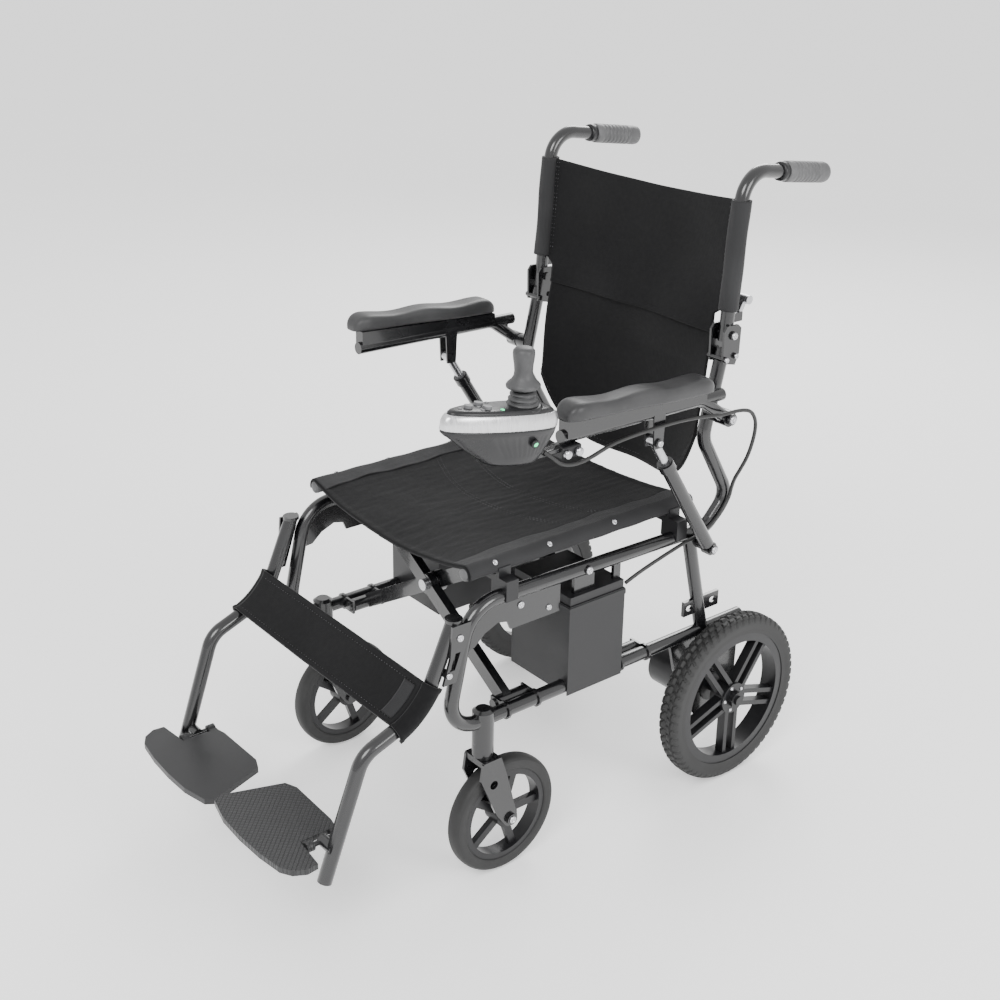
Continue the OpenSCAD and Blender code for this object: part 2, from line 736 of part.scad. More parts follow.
module caster_fork() {
    color(frame_black)
    union() {
        // stem
        translate([half, stem_y, fork_top - 2]) cylinder(r = 10 - fit, h = bottom_rail_z + 6 - fork_top);
        translate([half, stem_y, fork_top - 1]) cylinder(r = 15, h = 2.4);
        // crown
        block([half - blade_x - 2.5, stem_y - 15, fork_top - 11], [half + blade_x + 2.5, stem_y + 17, fork_top - 1]);
        for (s = [-1, 1])
            difference() {
                union() {
                    side_plate([
                        [stem_y - 16, fork_top - 3], [stem_y - 20, fork_top - 30], [stem_y + 10, caster_r + 16],
                        [caster_axle[1] - 12, caster_r - 6], [caster_axle[1] + 12, caster_r + 4],
                        [stem_y + 30, fork_top - 40], [stem_y + 18, fork_top - 3]
                    ], half + s * blade_x - 2.5, half + s * blade_x + 2.5);
                    bar_x([half + s * blade_x, caster_axle[1], caster_r], 13, 5);
                }
                bar_x([half + s * blade_x, stem_y + 4, fork_top - 44], 7, 20);
            }
        // axle bolt with its head and nut
        bar_x(caster_axle, 6, 2 * blade_x + 8);
        for (s = [-1, 1]) bar_x([half + s * (blade_x + 5), caster_axle[1], caster_r], 9, 5);
        for (s = [-1, 1]) bar_x([half + s * (blade_x - 3.2), caster_axle[1], caster_r], 9, 1.6);
    }
}

module caster_tyre() {
    color(rubber_grey)
    translate(caster_axle)
        rotate([0, 90, 0])
            rotate_extrude($fn = 64)
                polygon([
                    [caster_r - 20, -caster_w / 2 + 4], [caster_r - 10, -caster_w / 2], [caster_r - 3, -caster_w / 2 + 5],
                    [caster_r, -caster_w / 4], [caster_r, caster_w / 4], [caster_r - 3, caster_w / 2 - 5],
                    [caster_r - 10, caster_w / 2], [caster_r - 20, caster_w / 2 - 4]
                ]);
}

module caster_rim() {
    rim_r = caster_r - 20;
    color(plastic_black)
    translate(caster_axle)
        rotate([0, 90, 0])
            difference() {
                union() {
                    difference() {
                        cylinder(r = rim_r, h = caster_w - 9, center = true);
                        cylinder(r = rim_r - 9, h = caster_w, center = true);
                    }
                    cylinder(r = 19, h = caster_w - 1, center = true);
                    for (i = [0 : caster_spokes - 1])
                        rotate([0, 0, i * 360 / caster_spokes + 18])
                            translate([12, -6, -5]) cube([rim_r - 19, 12, 10]);
                }
                cylinder(r = 6 + fit, h = 60, center = true);
            }
}

// drive

rim_seat = axle_z - 30;

module rear_tyre() {
    w = rear_tyre_w / 2;
    color(rubber_grey)
    translate([wheel_x, 0, axle_z])
        rotate([0, 90, 0])
            rotate_extrude($fn = 96)
                polygon([
                    [rim_seat, -w + 9], [rim_seat + 6, -w + 3], [axle_z - 16, -w], [axle_z - 7, -w + 3], [axle_z - 2, -w + 8],
                    [axle_z, -w + 12.5], [axle_z, -5], [axle_z - 2, -4], [axle_z - 2, 4], [axle_z, 5],
                    [axle_z, w - 12.5], [axle_z - 2, w - 8], [axle_z - 7, w - 3], [axle_z - 16, w], [rim_seat + 6, w - 3],
                    [rim_seat, w - 9]
                ]);
}

module rear_rim() {
    color(plastic_black)
    translate([wheel_x, 0, axle_z])
        rotate([0, 90, 0])
            union() {
                difference() {
                    cylinder(r = rim_seat, h = rear_tyre_w - 12, center = true, $fn = 96);
                    cylinder(r = rim_seat - 14, h = rear_tyre_w + 2, center = true, $fn = 96);
                }
                cylinder(r = 27, h = rear_tyre_w - 14, center = true);
                for (i = [0 : rear_spokes - 1])
                    rotate([0, 0, i * 360 / rear_spokes])
                        for (s = [-1, 1])
                            translate([18, s * 11 - 4, -4]) cube([rim_seat - 26, 8, 16]);
                // hub cap and axle shaft
                translate([0, 0, rear_tyre_w / 2 - 7]) cylinder(r = 14, h = 9);
                translate([0, 0, rear_tyre_w / 2 + 2]) cylinder(r = 8, h = 4);
                translate([0, 0, half - 40 - wheel_x]) cylinder(r = 8.5, h = wheel_x - half + 40);
            }
}

gear_face = half - 8;

module gearmotor() {
    color(frame_black)
    difference() {
        union() {
            bar_x([gear_face - 24, 0, axle_z], gearbox_d / 2, 48);
            bar_x([gear_face + 4, 0, axle_z], 26 - gap, 8);
            bar_x([gear_face - 75, 0, axle_z], motor_d / 2, 54);
            bar_x([gear_face - 104.5, 0, axle_z], motor_d / 2 - 6, 5);
            // clutch boss
            bar_y([gear_face - 14, gearbox_d / 2 + 1, axle_z + 14], 7, 14);
            bar_y([gear_face - 14, gearbox_d / 2 + 13, axle_z + 14], 3, 14);
        }
        bar_x([gear_face - 14, 0, axle_z], 8.5 + fit, 60);
    }
}

module clutch_lever() {
    y = gearbox_d / 2 + 12;
    color(plastic_black)
    difference() {
        union() {
            bar_y([gear_face - 14, y, axle_z + 14], 7, 6);
            block([gear_face - 18, y - 3, axle_z + 14], [gear_face - 10, y + 3, axle_z + 54]);
            bar_y([gear_face - 14, y, axle_z + 56], 6, 12);
        }
        bar_y([gear_face - 14, y, axle_z + 14], 3 + fit, 30);
    }
}

// batteries

case_x1 = half + tube_r + 2;
case_x0 = case_x1 - battery_w;
case_y0 = -342;
case_y1 = case_y0 + battery_len;
case_z0 = bottom_rail_z - 11;
case_z1 = case_z0 + battery_h;

// case that sits astride the bottom rail
module battery_case() {
    color(plastic_black)
    difference() {
        union() {
            block([case_x0, case_y0, case_z0], [case_x1, case_y1, case_z1 - 14]);
            block([case_x0 + 2, case_y0 + 2, case_z1 - 14], [case_x1 - 2, case_y1 - 2, case_z1]);
            block([case_x0 - 1, case_y0 - 1, case_z1 - 24], [case_x1 + 1, case_y1 + 1, case_z1 - 16]);
        }
        block([case_x0 + 4, case_y0 + 4, case_z0 + 28], [case_x1 - 4, case_y1 - 4, case_z1 - 4]);
        // channel for the rail
        block([half - tube_r - gap, case_y0 - 5, case_z0 - 5], [half + tube_r + gap, case_y1 + 5, bottom_rail_z]);
        bar_y([half, (case_y0 + case_y1) / 2, bottom_rail_z], tube_r + gap, battery_len + 10);
    }
}

module battery() {
    color(pad_grey)
    block([case_x0 + 4.3, case_y0 + 4.3, case_z0 + 28], [case_x1 - 4.3, case_y1 - 4.3, case_z1 - 8]);
}

// controller

pod_r = pod_w / 2;

// plan outline of the controller, a rounded tail and a narrow nose, at a scale
module pod_plan(h, s) {
    hull() {
        translate([0, pod_len / 2 - pod_r, 0]) cylinder(r = pod_r * s, h = h, $fn = 32);
        translate([0, -pod_len / 16, 0]) cylinder(r = (pod_r - 2) * s, h = h, $fn = 32);
        translate([0, -pod_len / 2 + 10, 0]) cylinder(r = 10 * s, h = h, $fn = 32);
    }
}

module at_pod() {
    translate(pod_pos) rotate([-pod_tilt, 0, 0]) children();
}

module pod_base() {
    color(plastic_black)
    difference() {
        union() {
            at_pod()
                hull() {
                    translate([0, 0, -7]) pod_plan(6.8, 1);
                    translate([0, 26, -62]) scale([0.62, 0.5, 1]) pod_plan(6, 1);
                }
            // bar that carries the controller, clamped under the armrest tube
            block([arm_x - 8, pod_pos[1] + 30, arm_z - 19], [arm_x + 8, -364, arm_z - arm_r - 1.4]);
            block([arm_x - 14, -398, arm_z - 30], [arm_x + 14, -362, arm_z - 6]);
            for (y = [-391, -370]) bar_x([arm_x + 15, y, arm_z - 21], 5, 5);
        }
        translate([stick_pos[0], stick_pos[1], stick_pos[2] - 24]) cylinder(r = stick_bore + 1, h = 60);
        rod([arm_x, -430, arm_z - 0.2], [arm_x, -340, arm_z - 0.2], arm_r + gap);
    }
}

deck_h = 22;
button_r = 6;
button_at = [[0, -54], [-9.5, -30], [9.5, -30]];

module pod_deck() {
    color(plastic_black)
    difference() {
        at_pod()
            hull() {
                pod_plan(10, 1);
                translate([0, 2, 0]) pod_plan(deck_h, 0.76);
            }
        translate([stick_pos[0], stick_pos[1], stick_pos[2] - 40]) cylinder(r = stick_bore, h = 80);
        at_pod() for (b = button_at) translate([b[0], b[1], 17]) cylinder(r = button_r + gap, h = 20);
    }
}

module pod_button(i) {
    color(steel)
    at_pod() translate([button_at[i][0], button_at[i][1], 19]) cylinder(r = button_r, h = 6);
}

module joystick_boot() {
    color(plastic_black)
    difference() {
        translate([stick_pos[0], stick_pos[1], stick_pos[2] + 3]) {
            translate([0, 0, -6]) cylinder(r = 21, h = 12);
            for (z = [6, 11, 16]) translate([0, 0, z]) cylinder(r1 = 20, r2 = 17.5, h = 5);
        }
        translate([stick_pos[0], stick_pos[1], stick_pos[2] - 10]) cylinder(r = 13, h = 60);
        // its foot lies on the sloping deck
        at_pod() translate([-60, -120, -30]) cube([120, 240, 30 + deck_h + 0.1]);
    }
}

module joystick_gimbal() {
    color(steel)
    translate([stick_pos[0], stick_pos[1], stick_pos[2] - 4])
        difference() {
            cylinder(r = 11, h = 5);
            translate([0, 0, -1]) cylinder(r = 6.5, h = 10);
        }
}

module joystick() {
    color(grip_grey)
    translate([stick_pos[0], stick_pos[1], stick_pos[2] - 2]) {
        cylinder(r = 4, h = stick_h - 30);
        translate([0, 0, 31]) cylinder(r1 = 24, r2 = 15, h = 9);
        translate([0, 0, 40]) cylinder(r1 = 12.5, r2 = 15, h = stick_h - 56);
        translate([0, 0, stick_h - 16]) cylinder(r = 15, h = 12);
        translate([0, 0, stick_h - 4]) cylinder(r1 = 15, r2 = 11, h = 4);
    }
}

// cable from the controller along the armrest and down the back post
cable_r = 3;
cable_sides = 8;
cable_path = [
    [264, -432, 690], [267, -420, 680], [269, -404, 667], [269, -380, 661], [268, -350, 663], [267, -300, 674],
    [267, -230, 678], [267, -170, 678], [268, -120, 674], [270, -86, 670], [273, -50, 670], [274, -26, 664],
    [273, -12, 648], [270, -6, 628], [266, -6, 604], [260, -8, 580], [252, -12, 558], [244, -14, 540],
    [237, -12, 522], [233, -12, 504], [233, -26, 484], [233, -48, 466], [233, -75, 456], [233, -110, 450],
    [232, -160, 438], [228, -200, 424], [224, -224, 412]
];

function cable_dir(i) = unit(cable_path[min(i + 1, len(cable_path) - 1)] - cable_path[max(i - 1, 0)]);
function cable_ring(i) =
    let (d = cable_dir(i), a = unit(cross(d, [1, 0, 0.01])), b = cross(d, a))
    [for (k = [0 : cable_sides - 1])
        cable_path[i] + cable_r * (cos(k * 360 / cable_sides) * a + sin(k * 360 / cable_sides) * b)];

module pod_cable() {
    n = len(cable_path);
    s = cable_sides;
    color(plastic_black)
    polyhedron(
        points = [for (i = [0 : n - 1]) each cable_ring(i)],
        faces = concat(
            [[for (k = [0 : s - 1]) k]],
            [for (i = [0 : n - 2]) for (k = [0 : s - 1])
                [i * s + k, (i + 1) * s + k, (i + 1) * s + (k + 1) % s]],
            [for (i = [0 : n - 2]) for (k = [0 : s - 1])
                [i * s + k, (i + 1) * s + (k + 1) % s, i * s + (k + 1) % s]],
            [[for (k = [s - 1 : -1 : 0]) (n - 1) * s + k]]
        )
    );
}

// nodes

placed() side_frame();  // side_frame_left
placed() right_side() side_frame();  // side_frame_right
placed() brace_pivots();  // brace_pivots_left
placed() right_side() brace_pivots();  // brace_pivots_right
placed() rail_saddles();  // rail_saddles_left
placed() right_side() rail_saddles();  // rail_saddles_right
placed() brace_arm_a();
placed() brace_arm_b();
placed() brace_bolts();
placed() seat_rail();  // seat_rail_left
placed() right_side() seat_rail();  // seat_rail_right
placed() seat_sling();
placed() back_cloth();
placed() back_flap();
placed() calf_strap();
placed() back_post();  // back_post_left
placed() right_side() back_post();  // back_post_right
placed() push_grip();  // push_grip_left
placed() right_side() push_grip();  // push_grip_right
placed() back_latch();  // back_latch_left
placed() right_side() back_latch();  // back_latch_right
placed() armrest_tube();  // armrest_tube_left
placed() right_side() armrest_tube();  // armrest_tube_right
placed() arm_pad();  // arm_pad_left
placed() right_side() arm_pad();  // arm_pad_right
placed() strut_sleeve();  // strut_sleeve_left
placed() right_side() strut_sleeve();  // strut_sleeve_right
placed() strut_rod();  // strut_rod_left
placed() right_side() strut_rod();  // strut_rod_right
placed() leg_hanger(left_plate_z);  // leg_hanger_left
placed() right_side() leg_hanger(right_plate_z);  // leg_hanger_right
placed() footplate(left_plate_z);  // footplate_left
placed() right_side() footplate(right_plate_z);  // footplate_right
placed() caster_fork();  // caster_fork_left
placed() right_side() caster_fork();  // caster_fork_right
placed() caster_rim();  // caster_rim_left
placed() right_side() caster_rim();  // caster_rim_right
placed() caster_tyre();  // caster_tyre_left
placed() right_side() caster_tyre();  // caster_tyre_right
placed() rear_rim();  // rear_rim_left
placed() right_side() rear_rim();  // rear_rim_right
placed() rear_tyre();  // rear_tyre_left
placed() right_side() rear_tyre();  // rear_tyre_right
placed() gearmotor();  // gearmotor_left
placed() right_side() gearmotor();  // gearmotor_right
placed() clutch_lever();  // clutch_lever_left
placed() right_side() clutch_lever();  // clutch_lever_right
placed() battery_case();  // battery_case_left
placed() right_side() battery_case();  // battery_case_right
placed() battery();  // battery_left
placed() right_side() battery();  // battery_right
placed() pod_base();
placed() pod_deck();
placed() joystick();
placed() joystick_gimbal();
placed() joystick_boot();
placed() pod_button(0);  // power_button
placed() pod_button(1);  // slower_button
placed() pod_button(2);  // faster_button
placed() pod_cable();
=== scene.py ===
import json
import math
import bpy
from mathutils import Matrix, Vector, noise


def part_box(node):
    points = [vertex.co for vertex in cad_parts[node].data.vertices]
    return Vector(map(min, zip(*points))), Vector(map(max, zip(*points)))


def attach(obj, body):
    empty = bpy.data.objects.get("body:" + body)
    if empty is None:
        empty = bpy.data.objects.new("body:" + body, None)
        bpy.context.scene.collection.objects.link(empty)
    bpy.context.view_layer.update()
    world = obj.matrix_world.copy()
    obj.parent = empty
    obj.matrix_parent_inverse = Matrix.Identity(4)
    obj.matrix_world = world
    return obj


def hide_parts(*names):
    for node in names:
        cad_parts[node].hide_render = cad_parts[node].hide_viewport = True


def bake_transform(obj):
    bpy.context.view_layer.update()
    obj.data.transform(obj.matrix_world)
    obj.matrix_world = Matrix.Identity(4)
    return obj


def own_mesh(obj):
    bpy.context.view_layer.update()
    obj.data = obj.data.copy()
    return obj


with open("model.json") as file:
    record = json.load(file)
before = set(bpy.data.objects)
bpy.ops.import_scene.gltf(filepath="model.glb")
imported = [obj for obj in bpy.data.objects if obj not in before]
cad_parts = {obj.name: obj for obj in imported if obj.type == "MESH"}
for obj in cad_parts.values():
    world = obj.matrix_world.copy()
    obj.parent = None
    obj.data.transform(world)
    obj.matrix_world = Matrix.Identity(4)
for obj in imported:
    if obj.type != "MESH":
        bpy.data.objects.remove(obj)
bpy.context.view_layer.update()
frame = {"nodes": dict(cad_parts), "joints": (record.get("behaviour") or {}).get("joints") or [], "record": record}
record = frame["record"]
joints = {j["name"]: j for j in frame["joints"]}
axleY = joints["wheel_roll_left"]["pos_m"][1]
print("frame loaded:", len(frame["nodes"]), "nodes")


# camera and studio

look = {
    "spot": (1.6349, axleY - 1.6287, 1.4099),
    "azimuth": 50.8,
    "elevation": 20.8,
    "roll": 1.0,
    "lens": 51.83,
    "shift": (0.0004, -0.0688),
}


def placeCamera(c):
    az, el, roll = (math.radians(c[k]) for k in ("azimuth", "elevation", "roll"))
    back = Vector((math.sin(az) * math.cos(el), -math.cos(az) * math.cos(el), math.sin(el)))
    right = Vector((math.cos(az), math.sin(az), 0))
    up = back.cross(right)
    sideways = right * math.cos(roll) + up * math.sin(roll)
    upright = up * math.cos(roll) - right * math.sin(roll)
    data = bpy.data.cameras.new("camera")
    cam = bpy.data.objects.new("camera", data)
    bpy.context.scene.collection.objects.link(cam)
    turn = Matrix((sideways, upright, back)).transposed().to_4x4()
    cam.matrix_world = Matrix.Translation(c["spot"]) @ turn
    data.lens = c["lens"]
    data.sensor_width = 36
    data.shift_x, data.shift_y = c["shift"]
    data.clip_end = 60
    bpy.context.scene.camera = cam


placeCamera(look)


# shader maths
class Sock:
    def __init__(self, tree, socket):
        self.tree = tree
        self.socket = socket

    def node(self, kind, settings=None, sockets=None, out=0):
        made = self.tree.nodes.new(kind)
        for key, value in (settings or {}).items():
            setattr(made, key, value)
        for key, value in (sockets or {}).items():
            feed(self.tree, made.inputs[key], value)
        return Sock(self.tree, made.outputs[out])

    def maths(self, how, *values):
        return self.node("ShaderNodeMath", {"operation": how}, dict(enumerate((self,) + values)))

    def __add__(self, v):
        return self.maths("ADD", v)

    def __sub__(self, v):
        return self.maths("SUBTRACT", v)

    def __mul__(self, v):
        return self.maths("MULTIPLY", v)

    def __truediv__(self, v):
        return self.maths("DIVIDE", v)

    def clamp(self, low=0.0, high=1.0):
        return self.node("ShaderNodeClamp", None, {0: self, 1: low, 2: high})

    def above(self, v):
        return self.maths("GREATER_THAN", v)

    def ramp(self, low, high, a=0.0, b=1.0):
        return self.node("ShaderNodeMapRange", None, {0: self, 1: low, 2: high, 3: a, 4: b})


def feed(tree, target, value):
    if isinstance(value, Sock):
        tree.links.new(value.socket, target)
    else:
        target.default_value = value


def rgba(c):
    return (*c, 1) if len(c) == 3 else tuple(c)


class Paint:
    def __init__(self, name, constants):
        self.material = bpy.data.materials.new(name)
        self.material.use_nodes = True
        self.tree = self.material.node_tree
        self.shader = self.tree.nodes["Principled BSDF"]
        for key, value in constants.items():
            self.shader.inputs[key].default_value = value
        start = self.tree.nodes.new("ShaderNodeTexCoord")
        self.place = Sock(self.tree, start.outputs["Object"])
        self.height = None

    def axis(self, k):
        return self.place.node("ShaderNodeSeparateXYZ", None, {0: self.place}, k)

    def scaled(self, x, y, z):
        return self.place.node("ShaderNodeVectorMath", {"operation": "MULTIPLY"}, {0: self.place, 1: (x, y, z)})

    def noise(self, scale, detail=3.0, rough=0.5, at=None):
        return self.place.node("ShaderNodeTexNoise", None,
                               {"Vector": at or self.place, "Scale": scale, "Detail": detail,
                                "Roughness": rough})

    def cells(self, scale, feature="F1", at=None):
        return self.place.node("ShaderNodeTexVoronoi", {"feature": feature},
                               {"Vector": at or self.place, "Scale": scale})

    def waves(self, scale, direction, at=None):
        return self.place.node("ShaderNodeTexWave", {"bands_direction": direction},
                               {"Vector": at or self.place, "Scale": scale, "Distortion": 0.0})

    def mix(self, fac, a, b):
        value = self.tree.nodes.new("ShaderNodeMix")
        value.data_type = "RGBA"
        for key, v in ((0, fac), (6, a), (7, b)):
            feed(self.tree, value.inputs[key], rgba(v) if isinstance(v, tuple) else v)
        return Sock(self.tree, value.outputs[2])

    def set(self, key, value):
        feed(self.tree, self.shader.inputs[key], value)
        return self

    def bump(self, height, distance, strength=1.0):
        made = self.tree.nodes.new("ShaderNodeBump")
        made.inputs["Strength"].default_value = strength
        made.inputs["Distance"].default_value = distance
        feed(self.tree, made.inputs["Height"], height)
        self.tree.links.new(made.outputs["Normal"], self.shader.inputs["Normal"])
        return self


def glossPaint(name, dark, light, rough, coat=0.6):
    p = Paint(name, {"Coat Roughness": 0.08, "IOR": 1.5, "Coat Weight": coat})
    drift = p.noise(9.0, 4.0)
    peel = p.noise(420.0, 2.0)
    p.set("Base Color", p.mix(drift.ramp(0.35, 0.7), dark, light))
    p.set("Roughness", drift.ramp(0.3, 0.7, rough, rough + 0.12) + p.noise(60.0, 2.0) * 0.06)
    return p.bump(peel, 0.0001, 0.35)


def softPlastic(name, dark, light, rough, grain=900.0):
    p = Paint(name, {"IOR": 1.46})
    drift = p.noise(14.0, 4.0)
    p.set("Base Color", p.mix(drift.ramp(0.3, 0.75), dark, light))
    p.set("Roughness", drift.ramp(0.3, 0.7, rough, rough + 0.14))
    return p.bump(p.noise(grain, 2.0), 0.00018, 0.5)


def metal(name, colour, rough):
    p = Paint(name, {"IOR": 2.2})
    streak = p.noise(70.0, 3.0, at=p.scaled(1, 6, 1))
    p.set("Base Color", p.mix(streak.ramp(0.3, 0.7), tuple(v * 0.8 for v in colour), colour))
    p.set("Metallic", streak.ramp(0.2, 0.9, 0.9, 1.0))
    p.set("Roughness", streak.ramp(0.3, 0.7, rough, rough + 0.16))
    return p.bump(p.noise(600.0, 2.0), 0.00006, 0.4)


def rubber(name, dark, light, rough):
    p = Paint(name, {"IOR": 1.5})
    dust = p.noise(24.0, 5.0, 0.62)
    p.set("Base Color", p.mix(dust.ramp(0.4, 0.72), dark, light))
    p.set("Roughness", dust.ramp(0.3, 0.7, rough, rough + 0.12))
    return p.bump(p.noise(500.0, 3.0), 0.0003, 0.5)


def weave(name, dark, light, rough, scale=260.0):
    p = Paint(name, {"IOR": 1.4, "Sheen Weight": 0.06, "Sheen Roughness": 0.5, "Specular IOR Level": 0.3})
    warp = p.waves(scale, "X")
    weft = p.waves(scale, "Z") * 0.5 + p.waves(scale, "Y") * 0.5
    # this noise shapes the crease bump and also paints shade into the cloth colour below
    creaseAndShade = p.noise(4.5, 3.0, 0.5)
    fuzz = p.noise(130.0, 3.0)
    # painted shade and light: the colour is darker in the low creases of this noise and lighter on its raised
    # ridges
    p.set("Base Color", p.mix((creaseAndShade * 0.88 + fuzz * 0.12).ramp(0.35, 0.7), dark, light))
    p.set("Roughness", fuzz.ramp(0.3, 0.7, rough, rough + 0.1))
    return p.bump((warp + weft) * 0.14 + creaseAndShade * 0.2 + fuzz * 0.05, 0.0013, 0.4)


def grained(name, dark, light, rough):
    p = Paint(name, {"IOR": 1.45})
    worn = p.noise(11.0, 5.0, 0.6)
    grain = p.cells(520.0, "DISTANCE_TO_EDGE")
    p.set("Base Color", p.mix(worn.ramp(0.35, 0.7), dark, light))
    p.set("Roughness", worn.ramp(0.3, 0.7, rough, rough + 0.12))
    return p.bump(grain.clamp(0, 0.3) + p.noise(90.0) * 0.2, 0.0004, 0.5)


def treadPlate(name, dark, light, tops, pitch=0.0085):
    p = Paint(name, {"IOR": 1.46})
    drift = p.noise(16.0, 4.0)
    x, y, z = p.axis(0), p.axis(1), p.axis(2)
    a = ((x + y) / pitch).maths("FRACT") - 0.5
    b = ((x - y) / pitch).maths("FRACT") - 0.5
    dots = (a.maths("ABSOLUTE").maths("MAXIMUM", b.maths("ABSOLUTE"))).ramp(0.3, 0.42, 1.0, 0.0)
    level = z.above(min(tops) - 0.0015)
    p.set("Base Color", p.mix((drift * 0.6 + dots * level * 0.4).ramp(0.2, 0.9), dark, light))
    p.set("Roughness", drift.ramp(0.3, 0.7, 0.34, 0.5) - dots * level * 0.08)
    return p.bump(dots * level + p.noise(700.0) * 0.12, 0.0008, 0.8)


def glow(name, colour):
    p = Paint(name, {"Emission Strength": 1.4, "IOR": 1.5})
    core = p.noise(300.0, 2.0)
    p.set("Base Color", p.mix(core, tuple(v * 0.4 for v in colour), colour))
    p.set("Emission Color", p.mix(core, tuple(v * 0.7 for v in colour), colour))
    return p.set("Roughness", core.ramp(0, 1, 0.15, 0.3))


plateTops = [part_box("footplate_left")[1][2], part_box("footplate_right")[1][2]]
paints = {
    "frame": glossPaint("framePaint", (0.003, 0.003, 0.0035), (0.007, 0.007, 0.008), 0.15),
    "steel": metal("brightSteel", (0.62, 0.62, 0.64), 0.16),
    "rim": softPlastic("rimPlastic", (0.005, 0.005, 0.006), (0.010, 0.010, 0.011), 0.3),
    "tyre": rubber("tyreRubber", (0.008, 0.008, 0.008), (0.019, 0.019, 0.019), 0.55),
    "plastic": softPlastic("casePlastic", (0.005, 0.005, 0.006), (0.011, 0.011, 0.012), 0.32),
    "pod": softPlastic("podPlastic", (0.006, 0.006, 0.007), (0.014, 0.014, 0.015), 0.24, 1200.0),
    "pod_top": metal("silverBand", (0.72, 0.72, 0.73), 0.22),
    "cloth": weave("seatCloth", (0.002, 0.002, 0.0025), (0.0055, 0.0055, 0.006), 0.82),
    "cloth_edge": weave("edgeCloth", (0.012, 0.012, 0.013), (0.028, 0.028, 0.029), 0.66, 340.0),
    "pad": grained("padSkin", (0.022, 0.022, 0.023), (0.042, 0.042, 0.043), 0.36),
    "grip": rubber("gripRubber", (0.065, 0.065, 0.067), (0.12, 0.12, 0.122), 0.42),
    "plate": treadPlate("footPlastic", (0.012, 0.012, 0.013), (0.036, 0.036, 0.037), plateTops),
    "motor": glossPaint("motorPaint", (0.006, 0.006, 0.007), (0.012, 0.012, 0.013), 0.3, 0.2),
    "cell": softPlastic("cellPlastic", (0.02, 0.02, 0.022), (0.04, 0.04, 0.042), 0.5),
    "cable": rubber("cableRubber", (0.010, 0.010, 0.010), (0.022, 0.022, 0.022), 0.38),
    "button": softPlastic("buttonPlastic", (0.10, 0.10, 0.105), (0.17, 0.17, 0.175), 0.35),
    "thread": rubber("thread", (0.03, 0.03, 0.032), (0.07, 0.07, 0.075), 0.6),
    "lamp": glow("greenLamp", (0.06, 0.9, 0.35)),
    "knob": rubber("stickRubber", (0.030, 0.030, 0.031), (0.058, 0.058, 0.060), 0.4),
}
print("materials made:", len(paints))


def coat(obj, key):
    obj.data.materials.clear()
    obj.data.materials.append(paints[key].material)


slotOf = {s["node"]: s["material_slot"] for s in record["subparts"]}
for name, obj in frame["nodes"].items():
    coat(obj, slotOf[name])
    if name.split("_left")[0].split("_right")[0] in (
            "side_frame", "battery_case", "footplate", "rear_rim", "caster_rim", "caster_fork", "leg_hanger",
            "rail_saddles", "gearmotor", "back_latch", "armrest_tube", "brace_arm_a", "brace_arm_b"):
        soften = obj.modifiers.new("edges", "BEVEL")
        soften.width = 0.0009
        soften.segments = 2
        soften.limit_method = "ANGLE"
        soften.angle_limit = math.radians(40)
        soften.harden_normals = False
print("frame painted")


# building blocks
def addMesh(name, points, faces, key, body=None, smooth=True):
    mesh = bpy.data.meshes.new(name)
    mesh.from_pydata([tuple(p) for p in points], [], faces)
    mesh.validate()
    if smooth:
        mesh.polygons.foreach_set("use_smooth", [True] * len(mesh.polygons))
    mesh.update()
    obj = bpy.data.objects.new(name, mesh)
    bpy.context.scene.collection.objects.link(obj)
    coat(obj, key)
    if body:
        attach(obj, body)
    return obj


def frameOf(axis):
    z = Vector(axis).normalized()
    x = z.cross(Vector((0, 0, 1)) if abs(z.z) < 0.9 else Vector((1, 0, 0))).normalized()
    return x, z.cross(x), z


def lathe(name, outline, start, axis, key, body=None, steps=48, smooth=True):
    x, y, z = frameOf(axis)
    start = Vector(start)
    points = []
    for r, h in outline:
        for k in range(steps):
            a = 2 * math.pi * k / steps
            points.append(start + z * h + (x * math.cos(a) + y * math.sin(a)) * max(r, 1e-5))
    faces = []
    for i in range(len(outline) - 1):
        for k in range(steps):
            n = (k + 1) % steps
            faces.append((i * steps + k, i * steps + n, (i + 1) * steps + n, (i + 1) * steps + k))
    faces.append(tuple(range(steps - 1, -1, -1)))
    faces.append(tuple((len(outline) - 1) * steps + k for k in range(steps)))
    return addMesh(name, points, faces, key, body, smooth)


# a closed skin of some thickness round a surface given by a function of u and v in 0..1
def skin(name, surface, across, along, thick, key):
    rows = [[Vector(surface(i / across, j / along)) for j in range(along + 1)] for i in range(across + 1)]
    tops, lows = [], []
    for i in range(across + 1):
        for j in range(along + 1):
            du = rows[min(i + 1, across)][j] - rows[max(i - 1, 0)][j]
            dv = rows[i][min(j + 1, along)] - rows[i][max(j - 1, 0)]
            n = du.cross(dv).normalized()
            t = thick(i / across, j / along) if callable(thick) else thick
            tops.append(rows[i][j] + n * t / 2)
            lows.append(rows[i][j] - n * t / 2)
    w = along + 1
    m = len(tops)
    faces = []
    for i in range(across):
        for j in range(along):
            a, b, c, d = i * w + j, (i + 1) * w + j, (i + 1) * w + j + 1, i * w + j + 1
            faces += [(a, b, c, d), (m + d, m + c, m + b, m + a)]
    for i in range(across):
        a, b = i * w, (i + 1) * w
        faces += [(b, a, m + a, m + b), (a + along, b + along, m + b + along, m + a + along)]
    for j in range(along):
        a, b = j, across * w + j
        faces += [(a, a + 1, m + a + 1, m + a), (b + 1, b, m + b, m + b + 1)]
    return addMesh(name, tops + lows, faces, key)


# the size a sheet was cut to, measured over its shape at rest
def cutOf(surface, parts=60):
    def at(i, j):
        return Vector(surface(i / parts, j / parts))
    half = parts // 2
    wide = sum((at(i + 1, half) - at(i, half)).length for i in range(parts))
    long = sum((at(half, j + 1) - at(half, j)).length for j in range(parts))
    area = 0.0
    for i in range(parts):
        for j in range(parts):
            area += (at(i + 1, j) - at(i, j)).cross(at(i, j + 1) - at(i, j)).length
    return (wide, long), area


